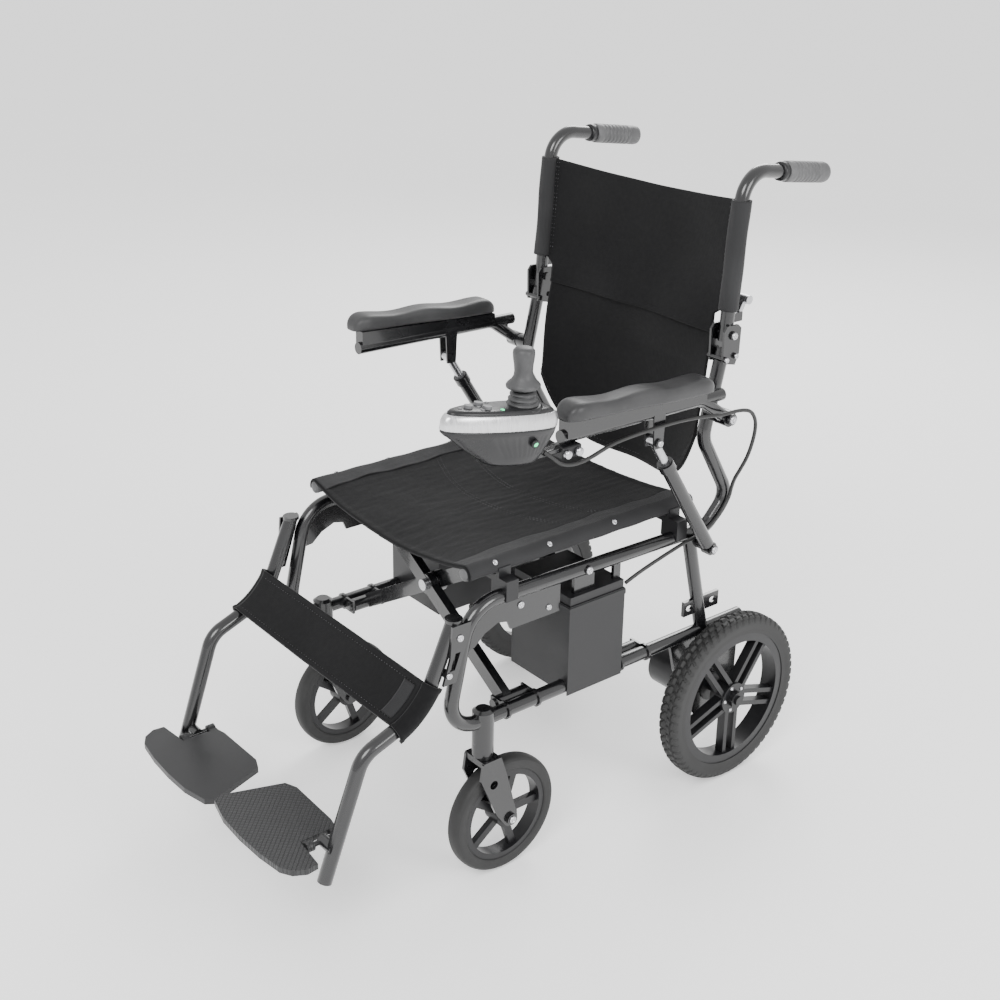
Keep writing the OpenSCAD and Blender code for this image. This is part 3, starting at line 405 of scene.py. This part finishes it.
def declareSheet(obj, surface):
    flat, area = cutOf(surface)
    print(obj.name, "cut", [round(v, 3) for v in flat])


# a row of raised stitches along a line, each one a short fat bar
def stitches(name, line, key, length=0.005, pitch=0.008, r=0.0007, lift=Vector((0, 0, 0.0008))):
    points, faces = [], []
    walked, mark = 0.0, 0.0
    for a, b in zip(line, line[1:]):
        span = (b - a).length
        while mark + length <= walked + span and span > 0:
            t0 = (mark - walked) / span
            t1 = t0 + length / span
            p, q = a.lerp(b, max(t0, 0)) + lift, a.lerp(b, min(t1, 1)) + lift
            x, y, z = frameOf(q - p)
            base = len(points)
            for end, shrink in ((p, 0.4), (p.lerp(q, 0.2), 1), (p.lerp(q, 0.8), 1), (q, 0.4)):
                for k in range(6):
                    w = math.pi * k / 3
                    points.append(end + (x * math.cos(w) + y * math.sin(w)) * r * shrink)
            for s in range(3):
                for k in range(6):
                    n = (k + 1) % 6
                    low, high = base + s * 6, base + s * 6 + 6
                    faces.append((low + k, low + n, high + n, high + k))
            faces.append(tuple(base + k for k in range(5, -1, -1)))
            faces.append(tuple(base + 18 + k for k in range(6)))
            mark += pitch
        walked += span
    return addMesh(name, points, faces, key)


def screwHead(name, spot, axis, r, key, body, tall=0.003):
    outline = [(r * 0.97, -0.0005), (r, tall * 0.3), (r * 0.92, tall * 0.7), (r * 0.7, tall), (r * 0.5, tall),
               (r * 0.46, tall * 0.55), (r * 0.1, tall * 0.5)]
    return lathe(name, outline, spot, axis, key, body, 24)


def ripple(x, y, z, size, scale):
    return noise.noise(Vector((x, y, z)) * scale) * size


# seat

seat = {
    "sag": 0.016,
    "front_dip": 0.007,
    "thick": 0.0026,
    "arcs": ((-0.335, 1.45), (-0.262, 1.35)),
    "screws": (-0.468, -0.366, -0.237),
}
railLow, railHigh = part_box("seat_rail_left")
slingLow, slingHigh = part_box("seat_sling")
railX = (railLow[0] + railHigh[0]) / 2
railZ = (railLow[2] + railHigh[2]) / 2
railR = (railHigh[2] - railLow[2]) / 2


# the seat's cross section: t runs -1 to 1 from rail to rail, and a little past each as it wraps the rail
def seatPoint(t, y, lift=0.0):
    r = railR + 0.0014 + lift
    front = max(0.0, 1 - (y - slingLow[1]) / 0.10)
    if abs(t) <= 1:
        sag = (seat["sag"] + seat["front_dip"] * front * front) * (1 - abs(t) ** 2.4)
        wrinkle = ripple(t * railX, y, 0, 0.0018, 9.0) * (1 - t * t)
        pull = ripple(t * 0.9, y, 3, 0.0009, 26.0) * (1 - abs(t)) ** 0.5
        return Vector((t * railX, y, railZ + r - sag + wrinkle + pull))
    a = (abs(t) - 1) / (seatWrap - 1) * math.radians(112)
    side = math.copysign(1, t)
    return Vector((side * (railX + r * math.sin(a)), y, railZ + r * math.cos(a)))


seatWrap = 1.12


def seatSurface(u, v):
    t = (u * 2 - 1) * seatWrap
    bow = 0.004 * (1 - min(abs(t), 1) ** 2)
    y = slingLow[1] - bow * (1 - v) + v * (slingHigh[1] - slingLow[1])
    return seatPoint(t, y)


def seatThick(u, v):
    ends = min(v, 1 - v)
    return seat["thick"] + (0.0022 if ends < 0.022 else 0.0)


sling = skin("seatSling", seatSurface, 110, 120, seatThick, "cloth")
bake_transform(sling)
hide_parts("seat_sling")
declareSheet(sling, seatSurface)
for n, (middle, curve) in enumerate(seat["arcs"]):
    for k in (0, 0.007):
        line = []
        for i in range(121):
            t = -0.97 + 1.94 * i / 120
            y = axleY + middle + k + curve * (t * railX) ** 2
            line.append(seatPoint(t, y))
        thread = stitches(f"seatStitch{n}{'b' if k else 'a'}", line, "thread", 0.0045, 0.0065, 0.0006,
                          Vector((0, 0, seat["thick"] / 2 + 0.0002)))
        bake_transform(thread)

# the lighter strips that cover the rails, with a wavy inner edge and their screws
for side, body, tag in ((1, "brace_b", "Left"), (-1, "brace_a", "Right")):
    def edgeSurface(u, v, side=side):
        y = slingLow[1] + 0.002 + v * (slingHigh[1] - slingLow[1] - 0.004)
        inner = 0.852 + 0.014 * math.sin(v * 15 + side) + 0.005 * math.sin(v * 37)
        t = inner + (seatWrap - 0.002 - inner) * (u if side > 0 else 1 - u)
        p = seatPoint(side * t, y, 0.0024)
        p.z += 0.0005 * math.sin(v * 41)
        return p
    strip = skin("seatEdge" + tag, edgeSurface, 26, 150, 0.0016, "cloth_edge")
    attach(strip, body)
    for n, y in enumerate(seat["screws"]):
        r = railR + 0.0046
        a = math.radians(48)
        spot = (side * (railX + r * math.sin(a)), axleY + y, railZ + r * math.cos(a))
        outward = (side * math.sin(a), 0, math.cos(a))
        screwHead(f"seatScrew{tag}{n}", spot, outward, 0.0042, "steel", body, 0.0018)
    for back in (0, 1):
        y = railLow[1] - 0.001 if back == 0 else railHigh[1] + 0.001
        way = (0, -1, 0) if back == 0 else (0, 1, 0)
        outline = [(0.0098, -0.001), (0.0102, 0.003), (0.0094, 0.007), (0.006, 0.009), (0.001, 0.0095)]
        lathe(f"railCap{tag}{back}", outline, (side * railX, y, railZ), way, "grip", body, 32)
print("seat built")


# back

back = {"sag": 0.026, "top_dip": 0.012, "thick": 0.0026, "sleeve": 0.0150}
hingeAt = Vector(joints["back_fold_left"]["pos_m"])
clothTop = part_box("back_cloth")[1][2]
postX = hingeAt.x
lean = math.atan2(0.017, 0.247)


# a point of the back, h metres up the leaning posts from the hinge
def onPost(x, h, out=0.0):
    return Vector((x, hingeAt.y + h * math.sin(lean) + out * math.cos(lean), hingeAt.z + h * math.cos(lean)))


def backWidth(h):
    return postX - 0.0268 + 0.0218 * min(1.0, max(0.0, (h - 0.026) / 0.014))


tall = (clothTop - hingeAt.z) / math.cos(lean)


def backSurface(u, v):
    t = u * 2 - 1
    top = tall - back["top_dip"] * (1 - t * t)
    h = -0.006 + v * (top + 0.006)
    settle = min(1.0, 0.35 + h / 0.12)
    out = back["sag"] * settle * (1 - t * t)
    out += ripple(t * 0.2, 0, h, 0.0035, 10.0) * (1 - t * t)
    out += 0.0022 * math.exp(-(((t - 0.62) * 3.2 - (h - 0.08) * 14) ** 2)) * (1 - abs(t))
    return onPost(t * backWidth(h), h, out)


def backThick(u, v):
    return back["thick"] + (0.0018 if v > 0.955 or v < 0.03 else 0.0)


panel = skin("backPanel", backSurface, 72, 60, backThick, "cloth")
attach(panel, "back_left")
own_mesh(panel)
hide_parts("back_cloth")
declareSheet(panel, backSurface)
for side, body, tag in ((1, "back_left", "Left"), (-1, "back_right", "Right")):
    rows = 40
    points, faces, steps = [], [], 36
    for i in range(rows + 1):
        h = 0.037 + (tall - 0.037) * i / rows
        for k in range(steps):
            a = 2 * math.pi * k / steps
            r = back["sleeve"] + 0.0005 * math.sin(3 * a + h * 60) + ripple(a, h, side, 0.0007, 14.0)
            r *= 1 + 0.05 * (abs(math.cos(a)) - 0.5)
            points.append(onPost(side * postX + r * math.cos(a), h, r * math.sin(a)))
    for i in range(rows):
        for k in range(steps):
            n = (k + 1) % steps
            faces.append((i * steps + k, i * steps + n, (i + 1) * steps + n, (i + 1) * steps + k))
    inner = len(points)
    for i in range(2):
        h = 0.037 if i == 0 else tall
        for k in range(steps):
            a = 2 * math.pi * k / steps
            points.append(onPost(side * postX + 0.0113 * math.cos(a), h, 0.0113 * math.sin(a)))
    for k in range(steps):
        n = (k + 1) % steps
        faces.append((inner + k, inner + n, n, k))
        faces.append((rows * steps + k, rows * steps + n, inner + steps + n, inner + steps + k))
        faces.append((inner + n, inner + k, inner + steps + k, inner + steps + n))
    addMesh("backSleeve" + tag, points, faces, "cloth_edge", body)
    seam = [onPost(side * (postX - 0.018), 0.05 + (tall - 0.055) * i / 60, 0.0035) for i in range(61)]
    for k in (0, 1):
        row = [p + Vector((-side * 0.004 * k, 0.0012 * k, 0)) for p in seam]
        stitch = stitches(f"backStitch{tag}{k}", row, "thread", 0.0045, 0.0065, 0.0006, Vector((0, -0.0032, 0)))
        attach(stitch, body)


def flapDrop(t):
    return 0.175 + 0.112 * (1 - t ** 4)


def flapPoint(t, drop):
    width = postX - 0.0280 + 0.001 * math.sin(drop * 20)
    out = back["sag"] * (1 - t * t) * (0.35 + min(0.65, drop / 0.12) + drop / 0.6) - drop * 0.12 * t * t
    out += ripple(t * 0.2, 5, drop, 0.004, 9.0) * min(1.0, drop / 0.05)
    out += 0.0036 * math.exp(-drop / 0.02)
    return Vector((t * width, hingeAt.y + out, hingeAt.z + 0.004 - drop))


def flapSurface(u, v):
    return flapPoint(u * 2 - 1, v * flapDrop(u * 2 - 1))


flap = skin("backFlap", flapSurface, 72, 50, lambda u, v: back["thick"] + (0.002 if v > 0.93 else 0.0), "cloth")
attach(flap, "frame_left")
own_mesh(flap)
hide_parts("back_flap")
declareSheet(flap, flapSurface)
hemLine = [flapPoint(-1 + i / 60, flapDrop(-1 + i / 60) - 0.010) for i in range(121)]
for k, lift in ((0, 0.0022), (1, -0.0022)):
    hem = stitches(f"flapStitch{k}", hemLine, "thread", 0.0045, 0.0065, 0.0006, Vector((0, lift, 0)))
    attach(hem, "frame_left")
    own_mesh(hem)
print("back built")


# calf strap

strap = {"thick": 0.0032, "wrap": 0.0150, "turn": 150, "hang": 0.003}
strapLow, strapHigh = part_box("calf_strap")


def strapSpine(v):
    a = Vector((0, strapHigh[1] - 0.004, strapHigh[2] - 0.001))
    b = Vector((0, (strapLow[1] + strapHigh[1]) / 2 + 0.003, strapLow[2] + 0.014))
    c = Vector((0, strapLow[1] + 0.002, strapLow[2] + 0.003))
    return a * (1 - v) ** 2 + b * (2 * v * (1 - v)) + c * v * v


def strapNormal(v):
    d = (strapSpine(min(v + 0.02, 1)) - strapSpine(max(v - 0.02, 0))).normalized()
    return Vector((0, d.z, -d.y))


def strapSurface(u, v):
    t = u * 2 - 1
    sink = strap["hang"] * (1 - t * t) + ripple(t * postX, v * 0.08, 2, 0.002, 14.0) * (1 - abs(t))
    return strapSpine(v) + Vector((t * postX, 0, 0)) - strapNormal(v) * sink


def strapThick(u, v):
    return strap["thick"] + (0.0022 if min(v, 1 - v) < 0.07 else 0.0)


band = skin("calfStrap", strapSurface, 96, 22, strapThick, "cloth")
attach(band, "frame_left")
for side, tag in ((1, "left"), (-1, "right")):
    def loopSurface(u, v, side=side):
        a = (u if side > 0 else 1 - u) * math.radians(strap["turn"])
        r = strap["wrap"]
        p = strapSpine(v) - strapNormal(v) * (r * (1 - math.cos(a)))
        return p + Vector((side * (postX + r * math.sin(a)), 0, 0))
    loop = skin("strapLoop" + tag.title(), loopSurface, 16, 22, strapThick, "cloth")
    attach(loop, "frame_" + tag)
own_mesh(band)
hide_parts("calf_strap")
declareSheet(band, strapSurface)
for k, v in enumerate((0.10, 0.90)):
    row = [strapSurface(0.025 + 0.95 * i / 160, v) for i in range(161)]
    n = strapNormal(v)
    hem = stitches(f"strapStitch{k}", row, "thread", 0.0045, 0.0065, 0.0006, n * 0.0028)
    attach(hem, "frame_left")
    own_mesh(hem)


def fastenerSurface(u, v):
    return strapSurface(0.918 + 0.058 * u, 0.12 + 0.76 * v) + strapNormal(v) * 0.0022


fastener = skin("strapFastener", fastenerSurface, 10, 16, 0.0012, "cloth_edge")
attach(fastener, "frame_left")
print("strap built")


# arm pads

pad = {"round": 0.42, "wave": 0.0022, "nose": 0.030}
for side, body, tag in ((1, "armrest_left", "Left"), (-1, "armrest_right", "Right")):
    low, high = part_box("arm_pad_left" if side > 0 else "arm_pad_right")
    middleX = (low[0] + high[0]) / 2
    halfW = (high[0] - low[0]) / 2 - 0.0005
    length = high[1] - low[1]
    rise = math.tan(math.radians(3)) * length
    deep = (high[2] - low[2]) - rise
    rows, steps = 72, 40
    points = []
    for i in range(rows + 1):
        s = (1 - math.cos(math.pi * i / rows)) / 2
        y = low[1] + 0.0005 + s * (length - 0.001)
        end = min(s, 1 - s) * length
        taper = math.sqrt(max(0.0, 1 - max(0.0, 1 - end / pad["nose"]) ** 2.4))
        floor = low[2] + rise * (1 - s)
        wave = pad["wave"] * math.sin(s * 15 + 0.5) * taper
        h = deep * (0.25 + 0.75 * taper) - 0.002 + wave
        w = halfW * (0.35 + 0.65 * taper) * (0.93 + 0.07 * math.cos(s * 9))
        for k in range(steps):
            a = 2 * math.pi * k / steps
            c, d = math.cos(a), math.sin(a)
            x = math.copysign(abs(c) ** 0.42, c) * w
            if d > 0:
                z = h * 0.45 + d ** 0.75 * h * 0.55
            else:
                z = h * 0.45 - abs(d) ** 0.35 * h * 0.45
            points.append(Vector((middleX + x, y, floor + z)))
    faces = []
    for i in range(rows):
        for k in range(steps):
            n = (k + 1) % steps
            faces.append((i * steps + k, (i + 1) * steps + k, (i + 1) * steps + n, i * steps + n))
    faces.append(tuple(range(steps)))
    faces.append(tuple(rows * steps + k for k in range(steps - 1, -1, -1)))
    made = addMesh("armPad" + tag, points, faces, "pad", body)
    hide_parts("arm_pad_left" if side > 0 else "arm_pad_right")
print("pads built")


# grips and hardware

for side, tag, name in ((1, "Left", "push_grip_left"), (-1, "Right", "push_grip_right")):
    mount = next(m for m in record["mounts"] if m["name"] == name)
    axis = Vector(mount["axis"])
    long = mount["dims"]["length_mm"] / 1000
    start = Vector(mount["pos_m"]) - axis * long / 2
    outline = [(0.0112, 0.0), (0.0150, 0.0005), (0.0162, 0.003)]
    for n in range(8):
        h = 0.010 + n * 0.0085
        outline += [(0.0165, h), (0.0165, h + 0.0052), (0.0157, h + 0.0060), (0.0157, h + 0.0075)]
    outline += [(0.0165, long - 0.018), (0.0165, long - 0.008), (0.0156, long - 0.003),
                (0.0125, long - 0.0005), (0.001, long)]
    made = lathe("pushGrip" + tag, outline, start, axis, "grip", "back_left" if side > 0 else "back_right", 48)
    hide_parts(name)
    collar = [(0.0112, -0.012), (0.0142, -0.0115), (0.0148, -0.008), (0.0148, -0.001), (0.0112, -0.0005)]
    lathe("gripCollar" + tag, collar, start, axis, "plastic", "back_left" if side > 0 else "back_right", 40)

for side, tag in ((1, "left"), (-1, "right")):
    out = (side, 0, 0)
    home = "frame_" + tag

    def at(x, y, z):
        return (side * x, axleY + y, z)

    wheel = joints["wheel_roll_" + tag]["pos_m"]
    tyreLow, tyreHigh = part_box("rear_tyre_" + tag)
    hubFace = (tyreHigh[0] - tyreLow[0]) / 2 - 0.007
    heads = (
        ("hookBolt", (0.230, -0.306, 0.460), 0.0062, "steel", home),
        ("gussetBoltA", (0.218, -0.374, 0.416), 0.0050, "steel", home),
        ("gussetBoltB", (0.218, -0.428, 0.437), 0.0058, "steel", home),
        ("hingeBolt", (0.2354, -0.031, 0.775), 0.0060, "steel", home),
        ("hingeBoltB", (0.2354, -0.024, 0.742), 0.0044, "steel", home),
        ("hingeBoltC", (0.2354, -0.045, 0.739), 0.0044, "steel", home),
        ("armNut", (0.2682, -0.057, 0.655), 0.0068, "steel", home),
        ("strutFootNut", (0.2632, -0.071, 0.439), 0.0062, "steel", home),
        ("clevisNut", (0.2643, -0.208, 0.650), 0.0052, "steel", "armrest_" + tag),
        ("hangerBoltA", (0.2324, -0.549, 0.429), 0.0056, "steel", home),
        ("hangerBoltB", (0.2324, -0.568, 0.375), 0.0050, "steel", home),
        ("casterNut", (0.2455, -0.457, 0.095), 0.0060, "steel", "caster_fork_" + tag),
    )
    for name, spot, r, key, body in heads:
        screwHead(name + tag.title(), at(*spot), out, r, key, body)
    for n in range(5):
        a = math.radians(36 + 72 * n)
        spot = (wheel[0] + side * hubFace, wheel[1] + 0.021 * math.cos(a), wheel[2] + 0.021 * math.sin(a))
        screwHead(f"hubScrew{tag.title()}{n}", spot, out, 0.0032, "steel", "rear_wheel_" + tag, 0.0015)
print("hardware built")


# wheels

rearTyre = {"lugs": 60, "groove": 0.0028, "steps": 480}
for side, tag in ((1, "left"), (-1, "right")):
    centre = Vector(joints["wheel_roll_" + tag]["pos_m"])
    low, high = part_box("rear_tyre_" + tag)
    outer = (high[2] - low[2]) / 2
    halfW = (high[0] - low[0]) / 2
    seatR = outer - 0.030
    profile = []
    for k in range(41):
        a = math.pi * k / 40
        c = -math.cos(a)
        r = seatR + (outer - seatR) * (math.sin(a) ** 0.55)
        x = halfW * math.copysign(abs(c) ** 0.62, c) * (1.0 - 0.22 * (1 - math.sin(a)) ** 2)
        profile.append((x, r))
    steps = rearTyre["steps"]
    points, faces = [], []
    for i in range(steps):
        a = 2 * math.pi * i / steps
        for x, r in profile:
            rise = (r - seatR) / (outer - seatR)
            cut = 0.0
            if rise > 0.62:
                reach = abs(x) / halfW
                where = a * rearTyre["lugs"] / (2 * math.pi) + (0.5 if x > 0 else 0.0) - reach * 0.9
                gap = abs((where % 1.0) - 0.5) < 0.17
                centreGap = abs(x) < 0.0016 or 0.42 < reach < 0.52
                if gap or centreGap:
                    cut = rearTyre["groove"]
            rr = r - cut
            points.append(centre + Vector((x, rr * math.cos(a), rr * math.sin(a))))
    w = len(profile)
    for i in range(steps):
        n = (i + 1) % steps
        for k in range(w - 1):
            faces.append((i * w + k, n * w + k, n * w + k + 1, i * w + k + 1))
        faces.append((i * w + w - 1, n * w + w - 1, n * w, i * w))
    tyre = addMesh("rearTyre" + tag.title(), points, faces, "tyre", "rear_wheel_" + tag, False)
    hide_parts("rear_tyre_" + tag)

    centre = Vector(joints["caster_roll_" + tag]["pos_m"])
    low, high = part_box("caster_tyre_" + tag)
    outer = (high[2] - low[2]) / 2
    halfW = (high[0] - low[0]) / 2
    outline = []
    for k in range(49):
        a = math.pi * k / 48
        c = -math.cos(a)
        r = outer - 0.0195 + 0.0195 * (math.sin(a) ** 0.6)
        x = halfW * math.copysign(abs(c) ** 0.75, c) * (1.0 - 0.2 * (1 - math.sin(a)) ** 2)
        ring = 0.0006 if k in (9, 10, 38, 39) else 0.0
        outline.append((r + ring, x))
    points, faces, steps = [], [], 96
    for i in range(steps):
        a = 2 * math.pi * i / steps
        for r, off in outline:
            points.append(centre + Vector((off, r * math.cos(a), r * math.sin(a))))
    w = len(outline)
    for i in range(steps):
        n = (i + 1) % steps
        for k in range(w - 1):
            faces.append((i * w + k, n * w + k, n * w + k + 1, i * w + k + 1))
        faces.append((i * w + w - 1, n * w + w - 1, n * w, i * w))
    small = addMesh("casterTyre" + tag.title(), points, faces, "tyre", "caster_wheel_" + tag)
    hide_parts("caster_tyre_" + tag)
print("wheels built")


# controller

stickAt = Vector(joints["stick_tilt_fore"]["pos_m"])
podTilt = math.radians(9)
podAt = Vector((stickAt.x, stickAt.y - 0.042, stickAt.z - 0.0113))
podTurn = Matrix.Translation(podAt) @ Matrix.Rotation(-podTilt, 4, "X")
podLong = 0.0945


def podWidth(c, s):
    blunt = 0.80 if c > 0 else 0.5
    return 0.0325 * abs(s) ** blunt * (1 - 0.32 * ((1 + c) / 2) ** 1.4)


def podRing(z, scale, shift=0.0, squeeze=1.0, ribs=0.0, steps=120):
    ring = []
    for k in range(steps):
        a = 2 * math.pi * k / steps
        c, s = math.cos(a), math.sin(a)
        rib = 1 - ribs * (0.5 + 0.5 * math.cos(a * 48)) if ribs and -0.75 < c < 0.35 else 1.0
        x = math.copysign(podWidth(c, s), s) * scale * rib
        ring.append(podTurn @ Vector((x, -podLong * c * scale * squeeze + shift, z)))
    return ring


def podShell(name, layers, key, body="armrest_left"):
    points, faces = [], []
    for layer in layers:
        points += podRing(*layer)
    steps = 120
    for i in range(len(layers) - 1):
        for k in range(steps):
            n = (k + 1) % steps
            faces.append((i * steps + k, i * steps + n, (i + 1) * steps + n, (i + 1) * steps + k))
    faces.append(tuple(range(steps - 1, -1, -1)))
    faces.append(tuple((len(layers) - 1) * steps + k for k in range(steps)))
    return addMesh(name, points, faces, key, body)


lower = podShell("podBody", [
    (-0.060, 0.46, 0.028, 0.8), (-0.056, 0.56, 0.027, 0.85), (-0.046, 0.66, 0.022, 0.9),
    (-0.044, 0.69, 0.021, 0.9, 0.05), (-0.030, 0.82, 0.012, 0.95, 0.06), (-0.017, 0.92, 0.005, 1.0, 0.05),
    (-0.015, 0.945, 0.003), (-0.010, 0.985), (-0.0078, 0.99), (-0.007, 0.97)], "pod")
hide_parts("pod_base")
silver = podShell("podBand", [(-0.007, 0.985), (-0.0055, 1.004), (0.006, 1.0), (0.011, 0.975), (0.0140, 0.945),
                              (0.0150, 0.915), (0.0135, 0.90)], "pod_top")
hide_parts("pod_deck")
podShell("podPanel", [(0.0130, 0.912), (0.0165, 0.905), (0.0190, 0.87), (0.0205, 0.80), (0.0212, 0.60)], "pod")
lathe("bootBase", [(0.026, -0.006), (0.0265, 0.001), (0.0245, 0.0035), (0.022, 0.004)],
      stickAt, (0, 0, 1), "pod", "armrest_left", 48)
bellows = []
for n in range(3):
    r = 0.0225 - n * 0.0022
    h = 0.003 + n * 0.0068
    bellows += [(r - 0.0030, h), (r, h + 0.0020), (r, h + 0.0036), (r - 0.0040, h + 0.0058)]
bellows += [(0.0128, 0.0235), (0.0125, 0.003)]
boot = lathe("stickBoot", bellows, stickAt, (0, 0, 1), "knob")
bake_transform(boot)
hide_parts("joystick_boot")
knob = lathe("stickKnob", [
    (0.0035, 0.0), (0.0038, 0.025), (0.0180, 0.0262), (0.0232, 0.0285), (0.0236, 0.0315), (0.0215, 0.0345),
    (0.0160, 0.0395), (0.0132, 0.0450), (0.0126, 0.0510), (0.0132, 0.0600), (0.0146, 0.0690), (0.0150, 0.0750),
    (0.0146, 0.0790), (0.0120, 0.0822), (0.0070, 0.0834), (0.001, 0.0836)],
    stickAt, (0, 0, 1), "knob", "joystick", 56)
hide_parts("joystick")
for n, (px, py) in enumerate(((0.0, -0.072), (-0.013, -0.044), (0.013, -0.044), (0.0, -0.0405), (-0.017, -0.014),
                              (0.017, -0.014))):
    spot = podTurn @ Vector((px, py + 0.004, 0.0195))
    lathe(f"padDot{n}", [(0.0030, 0), (0.0030, 0.0022), (0.0022, 0.0028), (0.001, 0.0028)], spot,
          podTurn.to_3x3() @ Vector((0, 0, 1)), "lamp" if n == 5 else "button", "armrest_left", 20)
lampSpot = podTurn @ Vector((0.0268, 0.048, -0.027))
lathe("sideLampRing", [(0.0062, -0.004), (0.0062, 0.0012), (0.0044, 0.0016)], lampSpot, (0.9, 0, -0.35), "pod",
      "armrest_left", 28)
lathe("sideLamp", [(0.0036, -0.002), (0.0035, 0.0016), (0.0022, 0.0026), (0.001, 0.0028)],
      lampSpot, (0.9, 0, -0.35), "lamp", "armrest_left", 24)

# the bar and clamp that hold the controller under the arm tube
pivotAt = Vector(joints["armrest_flip_left"]["pos_m"])


def addBox(name, low, high, key, body, soften=0.0015):
    (a, b, c), (d, e, f) = low, high
    points = [(x, y, z) for x in (a, d) for y in (b, e) for z in (c, f)]
    faces = [(0, 1, 3, 2), (4, 6, 7, 5), (0, 4, 5, 1), (2, 3, 7, 6), (0, 2, 6, 4), (1, 5, 7, 3)]
    obj = addMesh(name, points, faces, key, body, False)
    edge = obj.modifiers.new("edges", "BEVEL")
    edge.width = soften
    edge.segments = 3
    return obj


armZ = pivotAt.z + 0.043
addBox("podBar", (pivotAt.x - 0.008, axleY - 0.480, armZ - 0.019),
       (pivotAt.x + 0.008, axleY - 0.364, armZ - 0.0115), "frame", "armrest_left")
addBox("podClamp", (pivotAt.x - 0.0135, axleY - 0.398, armZ - 0.030),
       (pivotAt.x + 0.0135, axleY - 0.362, armZ - 0.0112), "plastic", "armrest_left", 0.003)
for n, y in enumerate((-0.391, -0.370)):
    spot = (pivotAt.x + 0.0135, axleY + y, armZ - 0.021)
    lathe(f"clampKnob{n}", [(0.0062, 0), (0.0066, 0.002), (0.0066, 0.005), (0.0050, 0.0065), (0.001, 0.0068)],
          spot, (1, 0, 0), "steel", "armrest_left", 28)

# cable: held under the arm, over its pivot and down the rear upright
cable = {"r": 0.0030, "turns": 10}
way = [
    (13, -375, 35), (16, -363, 25), (18, -347, 12), (18, -323, 6), (17, -293, 8), (16, -243, 19), (16, -173, 23),
    (16, -113, 23), (17, -63, 19), (19, -29, 15), (22, 7, 15), (23, 31, 9), (22, 45, -7), (19, 51, -27),
    (15, 51, -51), (9, 49, -75), (1, 45, -97), (-7, 43, -115), (-14, 45, -133), (-18, 45, -151), (-18, 31, -171),
    (-18, 9, -189), (-18, -18, -199), (-18, -53, -205), (-19, -103, -217), (-23, -143, -231), (-27, -167, -243)]
way = [pivotAt + Vector(p) / 1000 for p in way]


def smoothLine(points, parts):
    line = []
    for i in range(len(points) - 1):
        a, b = points[max(i - 1, 0)], points[i]
        c, d = points[i + 1], points[min(i + 2, len(points) - 1)]
        for k in range(parts):
            t = k / parts
            line.append((b * 2 + (c - a) * t + (a * 2 - b * 5 + c * 4 - d) * t * t
                         + (b * 3 - a - c * 3 + d) * t ** 3) / 2)
    return line + [points[-1]]


def tube(name, line, r, key, turns=12):
    points, faces = [], []
    x = None
    for i, p in enumerate(line):
        z = (line[min(i + 1, len(line) - 1)] - line[max(i - 1, 0)]).normalized()
        x = frameOf(z)[0] if x is None else (x - z * x.dot(z)).normalized()
        y = z.cross(x)
        for k in range(turns):
            a = 2 * math.pi * k / turns
            points.append(p + (x * math.cos(a) + y * math.sin(a)) * r)
    for i in range(len(line) - 1):
        for k in range(turns):
            n = (k + 1) % turns
            faces.append((i * turns + k, i * turns + n, (i + 1) * turns + n, (i + 1) * turns + k))
    faces.append(tuple(range(turns - 1, -1, -1)))
    faces.append(tuple((len(line) - 1) * turns + k for k in range(turns)))
    return addMesh(name, points, faces, key)


lead = tube("podCable", smoothLine(way, 6), cable["r"], "cable", cable["turns"])
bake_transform(lead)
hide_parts("pod_cable")
print("controller built")


# studio

floorCorners = [(-40, -40, 0), (40, -40, 0), (40, 40, 0), (-40, 40, 0)]
floor = addMesh("studioFloor", floorCorners, [(0, 1, 2, 3)], "button", None, False)
ground = Paint("paleFloor", {"IOR": 1.3, "Emission Color": (1, 1, 1, 1), "Emission Strength": 0.35})
shade = ground.noise(1.5, 2.0)
ground.set("Base Color", ground.mix(shade, (0.93, 0.93, 0.93), (0.95, 0.95, 0.95)))
ground.set("Roughness", shade.ramp(0, 1, 0.85, 0.95))
floor.data.materials[0] = ground.material


def softLight(name, spot, target, size, power):
    data = bpy.data.lights.new(name, "AREA")
    data.shape = "DISK"
    data.size = size
    data.energy = power
    obj = bpy.data.objects.new(name, data)
    bpy.context.scene.collection.objects.link(obj)
    obj.location = spot
    obj.rotation_euler = (Vector(target) - Vector(spot)).to_track_quat("-Z", "Y").to_euler()


softLight("keyLight", (1.6, -2.6, 3.2), (0, 0, 0.5), 2.0, 95)
softLight("sideLight", (3.4, 0.6, 1.8), (0, 0, 0.4), 1.6, 55)
softLight("rimLight", (-1.8, 2.6, 2.6), (0, 0, 0.6), 1.8, 70)
world = bpy.data.worlds.new("studio")
bpy.context.scene.world = world
world.use_nodes = True
world.node_tree.nodes["Background"].inputs[0].default_value = (1, 1, 1, 1)
world.node_tree.nodes["Background"].inputs[1].default_value = 1.3
print("studio ready")
